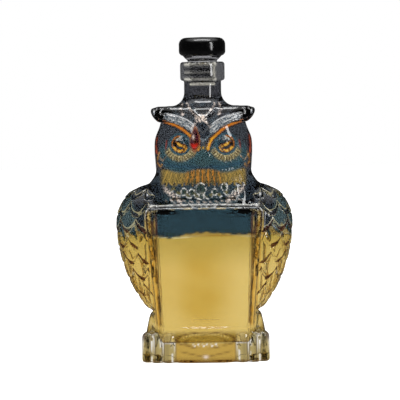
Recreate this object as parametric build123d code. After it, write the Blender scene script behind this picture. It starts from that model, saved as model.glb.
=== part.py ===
from build123d import *
import math
import os

# An owl-shaped liquor decanter: one hollow glass bottle with the owl's relief moulded in it, the liquor
# inside, and a push-in stopper of a gloss black knob, a clear plug and a ribbed sealing sleeve.
# Millimetres. The origin is on the floor under the neck, +Z is up and the owl looks along -Y.

# Base block and the thick glass bottom
base_height = 36.0
base_half_width = 47.5
base_half_depth = 35.5
bottom_thickness = 15.0
punt_depth = 1.6
punt_margin = 9.0

# Belly: a tapered block with a flat front panel
belly_floor = 12.0
panel_top = 118.3
belly_top_half_width = 45.5
belly_floor_half_width = 36.0
belly_half_depth = 35.0
belly_corner_radius = 7.0
belly_edge_radius = 3.5

# Chest, between the belly and the head
chest_floor = 98.0
chest_top = 152.0
chest_half_width = 44.5
chest_half_depth = 32.5

# Head
head_floor = 139.0
crown_height = 194.7
head_half_width = 38.0
head_half_depth = 31.5

# Wings
wing_tip_height = 36.0
wing_top_height = 135.0
wing_reach = 67.4
wing_root_offset = 30.0
wing_half_depth = 27.5

# Wing feathers: tilted discs that stand proud at their lower edge
feather_radius = 6.6
feather_thickness = 2.0
feather_tilt = 11.5
feather_rise = 0.4
feather_row_pitch = 10.4
feather_first_row = 49.0
feather_rows = 7
feathers_in_row = 5
feather_turn = 30.5

# Neck and lip
neck_diameter = 28.5
neck_length = 19.6
neck_fillet = 7.5
lip_diameter = 34.2
lip_height = 14.5
lip_round = 2.2
bore_diameter = 20.5
mouth_chamfer = 0.6

# Walls
belly_wall = 4.5
chest_wall = 4.5
head_wall = 5.0
wing_wall = 6.6
crown_wall = 5.5
cavity_round = 3.0
fill_height = 96.0

# Mask: the crown's front, from the ear tips down to the beak, with a raised brow along its lower edge
mask_floor = 150.0
mask_half_width = 42.0
mask_half_depth = 34.6
brow_rise = 1.3
ear_back = 7.0

# Eyes, cheeks, beak, muzzle and the ruff of feathers round the throat
eye_offset = 18.1
eye_height = 165.8
eye_ring_radius = 5.8
eye_ring_wire = 1.15
pupil_radius = 3.6
pupil_rise = 1.5
cheek_offset = 16.8
cheek_height = 158.0
cheek_radius = 24.0
cheek_rise = 1.9
relief_root = 4.4
beak_height = 163.5
beak_length = 14.0
beak_root_radius = 5.2
beak_lift = 1.0
beak_tip_radius = 3.0
beak_round = 1.6
muzzle_height = 154.0
muzzle_radius = 7.2
muzzle_reach = 3.4
ruff_height = 140.4
ruff_count = 15
ruff_turn = 9.6
ruff_radius = 2.1
ruff_length = 15.0
bib_height = 128.5
bib_count = 9
bib_turn = 11.5
bib_radius = 4.8

# Feet: three toes each, and a rounded lobe between them and at the tail
toe_radius = 5.4
toe_height = 24.0
toe_dome = 4.6
lobe_half_width = 23.5
lobe_reach = 5.6
lobe_height = 29.0
lobe_round = 1.2
base_reach = 37.6

# Stopper
knob_diameter = 35.8
knob_height = 14.4
knob_edge = 5.0
knob_floor_edge = 3.4
knob_crown = 0.9
flange_diameter = 27.6
flange_thickness = 2.0
glue_gap = 0.1
cone_height = 3.8
cone_top_diameter = 30.0
collar_diameter = 22.6
collar_height = 0.8
core_diameter = 15.6
plug_depth = 17.4
end_flange_diameter = 18.6
end_flange_thickness = 2.2
end_chamfer = 0.8
sleeve_diameter = 18.4
sleeve_gap = 0.2
rib_count = 3
rib_clearance = 0.05
rib_half_height = 1.35
rib_round = 0.9

# How the sections of the lofts follow the sizes above.
# Each row: height share, half-width share, half-depth share.
base_shares = [(0, 0.970, 0.968), (0.14, 1, 1), (0.35, 0.992, 0.990), (0.60, 0.965, 0.960),
               (0.84, 0.928, 0.935), (1, 0.900, 0.915)]
chest_shares = [(0, 0.97, 1), (0.22, 1, 1), (0.40, 1, 0.965), (0.55, 0.985, 0.905), (0.68, 0.930, 0.850),
                (0.80, 0.845, 0.820), (1, 0.80, 0.80)]
head_shares = [(0, 0.925, 0.855), (0.14, 0.965, 0.925), (0.38, 1, 0.985), (0.56, 0.980, 1),
               (0.72, 0.915, 0.970), (0.88, 0.865, 0.865), (1, 0.800, 0.740)]
# Each row: height share, reach share, half-depth share.
wing_shares = [(0, 0.615, 0.34), (0.08, 0.705, 0.62), (0.18, 0.800, 0.80), (0.32, 0.895, 0.94),
               (0.50, 0.970, 1), (0.67, 1, 0.99), (0.80, 0.975, 0.93), (0.91, 0.885, 0.76),
               (1, 0.700, 0.42)]
base_squareness = 3.6
chest_squareness = 3.0
head_squareness = 2.5
wing_squareness = 2.15
outline_points = 24
rod_end_share = 0.85

mask_shares = [(0, 0.93, 0.965), (0.28, 0.95, 1), (0.48, 0.97, 0.985), (0.68, 0.99, 0.925),
               (0.86, 1, 0.830), (1, 1, 0.735)]

# Right half of the mask from the front: the lower edge from the beak's tip to the ear and over it, and the
# brow's upper edge. Each row: share of the head's half-width, share of the way from the head's floor to the
# crown.
mask_edge_shares = [(0, 0.330), (0.130, 0.345), (0.190, 0.400), (0.225, 0.480), (0.285, 0.555),
                    (0.390, 0.630), (0.520, 0.688), (0.700, 0.742), (0.890, 0.778), (0.985, 0.815),
                    (1.045, 0.870), (1.058, 0.925), (1.040, 0.975), (0.990, 1)]
brow_edge_shares = [(0, 0.500), (0.040, 0.530), (0.130, 0.600), (0.260, 0.700), (0.420, 0.775),
                    (0.620, 0.850), (0.860, 0.930), (0.990, 1)]

# Where each toe of a foot stands: share of the base's half-width, share of its half-depth.
toe_shares = [(0.600, 0.905), (0.775, 0.865), (0.915, 0.740)]

# What the sizes above come to
lip_floor = crown_height + neck_length
lip_top = lip_floor + lip_height
bore_radius = bore_diameter / 2
cut_overrun = 2.0


def oval(height, half_width, half_depth, squareness, centre=0):
    """A superellipse face at a height."""
    points = []
    for index in range(outline_points):
        turn = 2 * math.pi * index / outline_points
        across, along = math.cos(turn), math.sin(turn)
        points.append(Vector(centre + half_width * math.copysign(abs(across) ** (2 / squareness), across),
                             half_depth * math.copysign(abs(along) ** (2 / squareness), along), height))
    return Face(Wire([Edge.make_spline(points, periodic=True)]))


def stack(floor, top, half_width, half_depth, shares, squareness, inset=0):
    """A loft through ovals, drawn in by an inset."""
    return loft([oval(floor + share * (top - floor), half_width * wide - inset, half_depth * deep - inset,
                      squareness) for share, wide, deep in shares])


def at_share(shares, share, column):
    """A column of a table of shares, read between its rows."""
    for low, high in zip(shares, shares[1:]):
        if share <= high[0]:
            return low[column] + (high[column] - low[column]) * (share - low[0]) / (high[0] - low[0])
    return shares[-1][column]


def surface_plane(offset, height, floor, top, half_width, half_depth, shares, squareness):
    """A plane on the front of a stack at an offset and height, with Z outwards and X to the right."""
    share = (height - floor) / (top - floor)
    wide = half_width * at_share(shares, share, 1)
    deep = half_depth * at_share(shares, share, 2)
    front = deep * (1 - abs(offset / wide) ** squareness) ** (1 / squareness)
    outwards = Vector(math.copysign(abs(offset / wide) ** (squareness - 1), offset) / wide,
                      -(front / deep) ** (squareness - 1) / deep, 0).normalized()
    return Plane(origin=(offset, -front, height), x_dir=Vector(0, 0, 1).cross(outwards), z_dir=outwards)


def head_plane(offset, height):
    """A plane on the front of the head."""
    return surface_plane(offset, height, head_floor, crown_height, head_half_width, head_half_depth,
                         head_shares, head_squareness)


def chest_plane(turn, height):
    """A plane on the front of the chest, at a turn in degrees from straight ahead."""
    wide = chest_half_width * at_share(chest_shares, (height - chest_floor) / (chest_top - chest_floor), 1)
    return surface_plane(wide * math.sin(math.radians(turn)), height, chest_floor, chest_top,
                         chest_half_width, chest_half_depth, chest_shares, chest_squareness)


def cap(radius, rise):
    """The top of a sphere that stands up by a rise, with a flat root inside the wall."""
    ball = Pos(0, 0, rise - radius) * Rot(90, 0, 0) * Sphere(radius)
    above = Pos(0, 0, -relief_root) * Box(2 * radius, 2 * radius, rise + relief_root + cut_overrun,
                                          align=(Align.CENTER, Align.CENTER, Align.MIN))
    return ball & above


def cap_radius(half_width, rise):
    """The sphere's radius of a cap of a half-width and a rise."""
    return (half_width ** 2 + rise ** 2) / (2 * rise)


def rod(radius, length):
    """A rod along Y with rounded ends."""
    bar = Rot(90, 0, 0) * Cylinder(radius, length)
    return fillet(bar.edges().filter_by(GeomType.CIRCLE), radius * rod_end_share)


def belly_half_width(height):
    """The belly block's half-width at a height."""
    share = (height - belly_floor) / (panel_top - belly_floor)
    return belly_floor_half_width + (belly_top_half_width - belly_floor_half_width) * share


def belly(inset, floor, top):
    """The belly's tapered block, drawn in by an inset."""
    sections = []
    for height in (floor, top):
        outline = RectangleRounded(2 * (belly_half_width(height) - inset), 2 * (belly_half_depth - inset),
                                   belly_corner_radius)
        sections.append(Plane.XY.offset(height) * outline)
    return loft(sections, ruled=True)


def wing_section(share, inset):
    """Centre, half-width and half-depth of the right wing at a height share."""
    half_width = wing_reach * at_share(wing_shares, share, 1) - wing_root_offset
    return half_width - inset, wing_half_depth * at_share(wing_shares, share, 2) - inset


def wing_bulge(inset, shares):
    """The right wing without feathers, drawn in by an inset."""
    sections = []
    for share, _, _ in shares:
        half_width, half_depth = wing_section(share, inset)
        height = wing_tip_height + share * (wing_top_height - wing_tip_height)
        sections.append(oval(height, half_width, half_depth, wing_squareness, wing_root_offset))
    return loft(sections)


def wing_feathers():
    """Rows of tilted discs round the right wing, every other row half a feather further round.

    A disc whose middle lies in the belly's block is left out.
    """
    feather = Cylinder(feather_radius, feather_thickness)
    feathers = []
    for row in range(feather_rows):
        height = feather_first_row + row * feather_row_pitch
        share = (height - wing_tip_height) / (wing_top_height - wing_tip_height)
        half_width, half_depth = wing_section(share, feather_thickness / 2 - feather_rise)
        for place in range(feathers_in_row):
            turn = math.radians((place + (row % 2) / 2 - feathers_in_row / 2 + 1 / 4) * feather_turn)
            outwards = Vector(math.cos(turn) / half_width, math.sin(turn) / half_depth, 0).normalized()
            origin = (wing_root_offset + half_width * math.cos(turn), half_depth * math.sin(turn), height)
            if origin[0] > belly_half_width(height) + feather_thickness / 2:
                seat = Plane(origin=origin, x_dir=(0, 0, 1), z_dir=outwards)
                feathers.append(seat * Rot(0, feather_tilt, 0) * feather)
    return feathers


def mask_outline(edge_shares):
    """Half an outline in the head's front plane, from a table of shares."""
    return [Vector(head_half_width * across, 0, head_floor + (crown_height - head_floor) * up)
            for across, up in edge_shares]


def mask():
    """The crown's front with the ear tips, and the raised brows along its lower edge down to the beak."""
    lower = Edge.make_spline(mask_outline(mask_edge_shares))
    upper = Edge.make_spline(mask_outline(brow_edge_shares))
    crown_line = Edge.make_line(lower @ 1, (lower.mirror(Plane.YZ)) @ 1)
    plate = Face(Wire([lower, crown_line, lower.mirror(Plane.YZ)]))
    brows = Face(Wire([lower, upper, upper.mirror(Plane.YZ), lower.mirror(Plane.YZ)]))
    form = None
    for face_outline, rise in ((plate, 0), (brows, brow_rise)):
        shell = stack(mask_floor, crown_height, mask_half_width, mask_half_depth, mask_shares,
                      head_squareness, -rise)
        prism = extrude(Pos(0, ear_back, 0) * face_outline, mask_half_depth + ear_back + brow_rise + cut_overrun,
                        dir=(0, -1, 0))
        layer = shell & prism
        form = layer if form is None else form + layer
    return form


def face():
    """The mask with the brows, and both cheeks and eyes, the beak and the muzzle under it."""
    parts = [mask()]
    for side in (-1, 1):
        cheek = head_plane(side * cheek_offset, cheek_height)
        parts.append(cheek * cap(cheek_radius, cheek_rise))
        socket = head_plane(side * eye_offset, eye_height).offset(cheek_rise / 2)
        parts.append(socket * Torus(eye_ring_radius, eye_ring_wire))
        parts.append(socket * cap(cap_radius(pupil_radius, pupil_rise), pupil_rise))
    beak = Rot(-90, 0, 0) * Cone(beak_tip_radius, beak_root_radius, beak_length)
    beak = fillet(beak.edges().filter_by(GeomType.CIRCLE), beak_round)
    parts.append(head_plane(0, beak_height).offset(beak_lift) * beak)
    parts.append(head_plane(0, muzzle_height) * cap(cap_radius(muzzle_radius, muzzle_reach), muzzle_reach))
    return parts


def throat():
    """The ruff of narrow upright feathers under the face, and a row of rounded ones below it."""
    parts = []
    stroke = rod(ruff_radius, ruff_length)
    for index in range(ruff_count):
        parts.append(chest_plane((index - (ruff_count - 1) / 2) * ruff_turn, ruff_height) * stroke)
    bib_feather = Pos(0, 0, feather_rise - feather_thickness / 2) * Rot(-feather_tilt, 0, 0) * Cylinder(
        bib_radius, feather_thickness)
    for index in range(bib_count):
        parts.append(chest_plane((index - (bib_count - 1) / 2) * bib_turn, bib_height) * bib_feather)
    return parts


def toes():
    """Three upright toes at each front corner, domed on top, and the lobes at the front and the tail."""
    parts = []
    toe = Cylinder(toe_radius, toe_height, align=(Align.CENTER, Align.CENTER, Align.MIN))
    toe = fillet(toe.edges().filter_by(GeomType.CIRCLE).group_by(Axis.Z)[-1], toe_dome)
    for side in (-1, 1):
        for across, along in toe_shares:
            parts.append(Pos(side * base_half_width * across, -base_half_depth * along, 0) * toe)
        lobe = extrude(Pos(0, side * (base_reach - lobe_reach), 0) * Ellipse(lobe_half_width, lobe_reach),
                       lobe_height)
        parts.append(fillet(lobe.edges().group_by(Axis.Z)[-1], lobe_round))
    return parts


def neck():
    """The neck with its fillet onto the crown and its lip, turned about Z."""
    neck_radius, lip_radius = neck_diameter / 2, lip_diameter / 2
    root = crown_height - crown_wall
    with BuildPart() as turned:
        with BuildSketch(Plane.XZ):
            with BuildLine():
                Polyline((0, lip_top), (0, root), (neck_radius + neck_fillet, root),
                         (neck_radius + neck_fillet, crown_height))
                RadiusArc((neck_radius + neck_fillet, crown_height),
                          (neck_radius, crown_height + neck_fillet), neck_fillet)
                Polyline((neck_radius, crown_height + neck_fillet), (neck_radius, lip_floor),
                         (lip_radius, lip_floor), (lip_radius, lip_top), (0, lip_top))
            make_face()
        revolve(axis=Axis.Z)
    lip_edges = turned.part.edges().filter_by(GeomType.CIRCLE).filter_by(
        lambda edge: abs(edge.radius - lip_radius) < lip_round / 2)
    return fillet(lip_edges, lip_round)


def bore():
    """The straight bore through the neck, with a small chamfer at the mouth."""
    depth = lip_top - (crown_height - crown_wall) + cut_overrun
    hole = Pos(0, 0, lip_top - depth) * Cylinder(bore_radius, depth,
                                                 align=(Align.CENTER, Align.CENTER, Align.MIN))
    mouth = Pos(0, 0, lip_top - mouth_chamfer) * Cone(bore_radius, bore_radius + mouth_chamfer, mouth_chamfer,
                                                      align=(Align.CENTER, Align.CENTER, Align.MIN))
    return hole + mouth


def lower_rooms():
    """The spaces inside the belly and both wings."""
    room = belly(belly_wall, bottom_thickness, panel_top - belly_wall)
    room = fillet(room.edges().group_by(Axis.Z)[0], cavity_round)
    inner_wing = wing_bulge(wing_wall, wing_shares[1:-1])
    return [room, inner_wing, inner_wing.mirror(Plane.YZ)]


def upper_rooms():
    """The spaces inside the chest and the head."""
    chest_room = stack(chest_floor, chest_top, chest_half_width, chest_half_depth, chest_shares,
                       chest_squareness, chest_wall)
    head_room = stack(head_floor, crown_height - crown_wall, head_half_width, head_half_depth, head_shares,
                      head_squareness, head_wall)
    return [chest_room, head_room]


def plain_form():
    """The owl's outside without feathers, feet or face, as one solid."""
    block = belly(0, belly_floor, panel_top)
    block = fillet(block.edges().group_by(Axis.Z)[-1], belly_edge_radius)
    base = stack(0, base_height, base_half_width, base_half_depth, base_shares, base_squareness)
    chest = stack(chest_floor, chest_top, chest_half_width, chest_half_depth, chest_shares, chest_squareness)
    head = stack(head_floor, crown_height, head_half_width, head_half_depth, head_shares, head_squareness)
    right_wing = wing_bulge(0, wing_shares)
    return block + base + chest + head + neck() + right_wing + right_wing.mirror(Plane.YZ)


def glass_bottle():
    """The bottle: the plain outside less the spaces inside, the bore and the punt, then the relief on it."""
    form = plain_form()
    belly_room, right_room, left_room = lower_rooms()
    chest_room, head_room = upper_rooms()
    for room in (belly_room, right_room, left_room, chest_room, head_room):
        form = form - room
    punt = extrude(Pos(0, 0, -cut_overrun) * oval(0, base_half_width - punt_margin,
                                                  base_half_depth - punt_margin, base_squareness),
                   punt_depth + cut_overrun)
    throat_bore = bore()
    form = form - throat_bore - punt
    feathers = wing_feathers()
    form = form + feathers
    form = form + [feather.mirror(Plane.YZ) for feather in feathers]
    form = form + [toe - belly_room for toe in toes()]
    mask_piece, *face_pieces = face()
    form = form + (mask_piece - head_room - throat_bore) + face_pieces
    return form + throat()


def liquor():
    """The liquor: the spaces inside the belly and the wings, up to the fill height."""
    belly_room, right_room, left_room = lower_rooms()
    below = Pos(0, 0, bottom_thickness - cut_overrun) * Box(
        2 * wing_reach, 2 * base_half_width, fill_height - bottom_thickness + cut_overrun,
        align=(Align.CENTER, Align.CENTER, Align.MIN))
    return (belly_room + right_room + left_room) & below


def turned(points):
    """A solid turned about Z from a closed outline of radius and height."""
    with BuildPart() as part:
        with BuildSketch(Plane.XZ):
            with BuildLine():
                Polyline(*points, close=True)
            make_face()
        revolve(axis=Axis.Z)
    return part.part


cone_floor = lip_top + collar_height
cone_top = cone_floor + cone_height
plug_end = lip_top - plug_depth


def stopper_plug():
    """The clear plug: a glued flange, a cone down to the collar on the lip, a core and an end flange."""
    flange_top = cone_top + flange_thickness
    sleeve_floor = plug_end + end_flange_thickness
    return turned([(0, flange_top), (flange_diameter / 2, flange_top), (flange_diameter / 2, cone_top),
                   (cone_top_diameter / 2, cone_top), (collar_diameter / 2, cone_floor),
                   (collar_diameter / 2, lip_top), (core_diameter / 2, lip_top),
                   (core_diameter / 2, sleeve_floor), (end_flange_diameter / 2, sleeve_floor),
                   (end_flange_diameter / 2, plug_end + end_chamfer),
                   (end_flange_diameter / 2 - end_chamfer, plug_end), (0, plug_end)])


def stopper_seal():
    """The sealing sleeve on the plug's core, with rounded ribs that fill the bore."""
    floor, top = plug_end + end_flange_thickness, lip_top - sleeve_gap
    sleeve = Pos(0, 0, floor) * Cylinder(sleeve_diameter / 2, top - floor,
                                         align=(Align.CENTER, Align.CENTER, Align.MIN))
    pitch = (top - floor) / rib_count
    rib_radius = bore_radius - rib_clearance
    rib = fillet(Cylinder(rib_radius, 2 * rib_half_height).edges().filter_by(GeomType.CIRCLE), rib_round)
    for index in range(rib_count):
        sleeve = sleeve + Pos(0, 0, floor + pitch * (index + 1 / 2)) * rib
    hole = Pos(0, 0, floor - cut_overrun) * Cylinder(core_diameter / 2, top - floor + 2 * cut_overrun,
                                                     align=(Align.CENTER, Align.CENTER, Align.MIN))
    return sleeve - hole


def stopper_knob():
    """The black knob: a rounded disc, slightly crowned, with a socket for the plug's flange."""
    radius = knob_diameter / 2
    body = Pos(0, 0, cone_top) * Cylinder(radius, knob_height, align=(Align.CENTER, Align.CENTER, Align.MIN))
    body = fillet(body.edges().group_by(Axis.Z)[-1], knob_edge)
    body = fillet(body.edges().group_by(Axis.Z)[0], knob_floor_edge)
    crown_radius = (radius ** 2 + knob_crown ** 2) / (2 * knob_crown)
    crown = Pos(0, 0, cone_top + knob_height - crown_radius) * Rot(90, 0, 0) * Sphere(crown_radius)
    socket = Pos(0, 0, cone_top - cut_overrun) * Cylinder(
        flange_diameter / 2 + glue_gap, flange_thickness + cut_overrun,
        align=(Align.CENTER, Align.CENTER, Align.MIN))
    return (body & crown) - socket


if __name__ == "__main__":
    os.makedirs("parts", exist_ok=True)
    pieces = {"glass_bottle": glass_bottle(), "liquor": liquor(), "stopper_plug": stopper_plug(),
              "stopper_seal": stopper_seal(), "stopper_knob": stopper_knob()}
    for name, piece in pieces.items():
        export_step(piece, os.path.join("parts", name + ".step"))
        print(name, "valid", piece.is_valid, "solids", len(piece.solids()), "mm3", round(piece.volume))
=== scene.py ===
"""An owl-shaped glass decanter, its liquor and its stopper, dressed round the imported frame."""

import logging
import math
from dataclasses import dataclass
from enum import Enum
from typing import Callable, Sequence

import bpy
import numpy as np
from mathutils import Matrix, Vector


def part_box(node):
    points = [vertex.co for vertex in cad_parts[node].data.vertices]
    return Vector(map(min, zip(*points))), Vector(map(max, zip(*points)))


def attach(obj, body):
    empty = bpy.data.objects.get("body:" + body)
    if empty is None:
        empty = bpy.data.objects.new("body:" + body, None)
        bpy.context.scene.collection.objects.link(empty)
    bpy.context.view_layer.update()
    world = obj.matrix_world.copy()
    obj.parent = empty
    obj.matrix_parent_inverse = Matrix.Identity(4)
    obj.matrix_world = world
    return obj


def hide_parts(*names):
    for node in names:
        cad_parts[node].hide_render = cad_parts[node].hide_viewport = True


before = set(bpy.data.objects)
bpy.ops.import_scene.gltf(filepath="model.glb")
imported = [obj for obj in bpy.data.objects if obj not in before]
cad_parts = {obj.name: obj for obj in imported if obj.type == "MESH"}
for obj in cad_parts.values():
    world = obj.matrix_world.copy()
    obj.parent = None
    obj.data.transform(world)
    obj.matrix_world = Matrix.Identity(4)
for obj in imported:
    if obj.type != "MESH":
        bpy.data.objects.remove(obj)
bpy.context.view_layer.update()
LOG = logging.getLogger("decanter")

# The forms are worked out in millimetres and the meshes are in metres.
MM = 0.001

Array = np.ndarray
Colour = tuple[float, float, float]
Points = Sequence[tuple[float, float]]
Node = bpy.types.Node
Socket = bpy.types.NodeSocket
Material = bpy.types.Material


class Body(Enum):
    """The frame's moving bodies."""

    BOTTLE = "bottle"
    STOPPER = "stopper"


class Slot(Enum):
    """The material slots."""

    GLASS = "bottle_glass"
    LIQUOR = "liquor"
    PLUG = "plug"
    SEAL = "seal"
    KNOB = "knob"


def linear(red: int, green: int, blue: int) -> Colour:
    """Turns a display colour into the linear one that the shaders take.

    Args:
        red: red from 0 to 255.
        green: green from 0 to 255.
        blue: blue from 0 to 255.

    Returns:
        The three linear values.
    """
    def channel(value: int) -> float:
        """One channel's linear value."""
        share = value / 255
        return share / 12.92 if share <= 0.04045 else ((share + 0.055) / 1.055) ** 2.4
    return channel(red), channel(green), channel(blue)


# Distances are negative inside. They may be off a little away from the surface, which no step here minds.


def smooth_min(one: Array, other: Array, reach: float) -> Array:
    """The distance to two forms joined by a soft crease, whose width is the reach."""
    overlap = np.maximum(reach - np.abs(one - other), 0)
    return np.minimum(one, other) - overlap * overlap / (4 * reach)


def smooth_max(one: Array, other: Array, reach: float) -> Array:
    """Cuts one form with another, with the edge rounded over a reach."""
    return -smooth_min(-one, -other, reach)


def rounded_cut(one: Array, other: Array, radius: float) -> Array:
    """The distance to what two forms both hold, with an arc of a true radius along the edge."""
    return (np.minimum(np.maximum(one, other), -radius)
            + np.hypot(np.maximum(one + radius, 0), np.maximum(other + radius, 0)))


def filleted_join(one: Array, other: Array, radius: float) -> Array:
    """Joins two forms with a hollow arc of a true radius in the corner."""
    return -rounded_cut(-one, -other, radius)


def rise(low: float, high: float, value: Array) -> Array:
    """Goes smoothly from 0 at low to 1 at high, and the other way where low is the larger."""
    share = np.clip((value - low) / (high - low), 0, 1)
    return share * share * (3 - 2 * share)


def bump(value: Array, centre: float, half_width: float) -> Array:
    """A round ridge of height 1 across a value."""
    return np.sqrt(np.maximum(1 - ((value - centre) / half_width) ** 2, 0))


def line(value: Array, centre: float, half_width: float) -> Array:
    """A soft line of height 1 across a value."""
    return np.exp(-((value - centre) / half_width) ** 2)


def read_table(places: Sequence[float], values: Sequence[float], at: Array) -> Array:
    """Reads a table between its rows along a smooth curve.

    Args:
        places: the rows' places, rising.
        values: the rows' values.
        at: where to read.

    Returns:
        The values there.
    """
    known, heights = np.asarray(places, float), np.asarray(values, float)
    slopes = np.gradient(heights, known)
    row = np.clip(np.searchsorted(known, at) - 1, 0, len(known) - 2)
    span = known[row + 1] - known[row]
    share = np.clip((at - known[row]) / span, 0, 1)
    square, cube = share * share, share * share * share
    return (heights[row] * (2 * cube - 3 * square + 1) + slopes[row] * span * (cube - 2 * square + share)
            + heights[row + 1] * (3 * square - 2 * cube) + slopes[row + 1] * span * (cube - square))


def from_edge(start: Sequence[float], end: Sequence[float], across: Array, up: Array) -> Array:
    """The squared distance to a straight edge in a plane.

    Args:
        start: the edge's first end.
        end: its other end.
        across: first coordinates of the places asked for.
        up: second coordinates of the places asked for.

    Returns:
        The squares of the distances.
    """
    (x0, z0), (x1, z1) = start, end
    run_x, run_z = x1 - x0, z1 - z0
    share = np.clip(((across - x0) * run_x + (up - z0) * run_z) / (run_x * run_x + run_z * run_z), 0, 1)
    return (across - x0 - share * run_x) ** 2 + (up - z0 - share * run_z) ** 2


def distance_to_outline(points: Array, across: Array, up: Array) -> Array:
    """The distance to a closed outline in a plane, negative inside.

    Args:
        points: the outline's corners, one row each.
        across: first coordinates of the places asked for.
        up: second coordinates of the places asked for.

    Returns:
        The distances.
    """
    inside = np.zeros(np.broadcast(across, up).shape, bool)
    ends = np.roll(points, -1, axis=0)
    for (x0, z0), (x1, z1) in zip(points, ends):
        if z1 != z0:
            inside ^= ((z0 > up) != (z1 > up)) & (across < x0 + (up - z0) * (x1 - x0) / (z1 - z0))
    away = np.sqrt(np.minimum.reduce([from_edge(start, end, across, up) for start, end in zip(points, ends)]))
    return np.where(inside, -away, away)


def from_line(corners: Points, across: Array, up: Array) -> Array:
    """The distance to a bent line, given by its corners, from places across and up a plane."""
    edges = zip(corners, corners[1:])
    return np.sqrt(np.minimum.reduce([from_edge(start, end, across, up) for start, end in edges]))


def round_block(across: Array, along: Array, half_width: Array, half_depth: float, corner: Array) -> Array:
    """The distance to an upright block with rounded corners, which has no floor and no top."""
    side, face = across - (half_width - corner), np.abs(along) - (half_depth - corner)
    return np.hypot(np.maximum(side, 0), np.maximum(face, 0)) + np.minimum(np.maximum(side, face), 0) - corner


@dataclass(frozen=True)
class Stack:
    """A form through ovals at several heights, in millimetres."""

    floor: float
    top: float
    half_width: float
    half_depth: float
    squareness: float
    shares: Sequence[tuple[float, float, float]]
    centre: float = 0.0

    def way_up(self, z: Array) -> Array:
        """How far up the stack a height is, from 0 to 1."""
        return (z - self.floor) / (self.top - self.floor)

    def half_axes(self, z: Array) -> tuple[Array, Array]:
        """The half-width past the centre and the half-depth at a height.

        Args:
            z: heights.

        Returns:
            Both, in millimetres.
        """
        places, wides, deeps = zip(*self.shares)
        way = self.way_up(z)
        wide = self.half_width * read_table(places, wides, way) - self.centre
        return wide, self.half_depth * read_table(places, deeps, way)

    def distance(self, x: Array, y: Array, z: Array, inset: float = 0.0) -> Array:
        """The distance sideways to the stack's side.

        Args:
            x: first coordinates.
            y: second coordinates.
            z: heights.
            inset: how far the side is drawn in.

        Returns:
            The distances, with no floor and no top.
        """
        wide, deep = (np.maximum(half - inset, 0.5) for half in self.half_axes(z))
        out = x - self.centre
        ratio = np.abs(out / wide) ** self.squareness + np.abs(y / deep) ** self.squareness
        ratio = np.maximum(ratio ** (1 / self.squareness), 1e-4)
        return np.hypot(out, y) * (1 - 1 / ratio)


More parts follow.
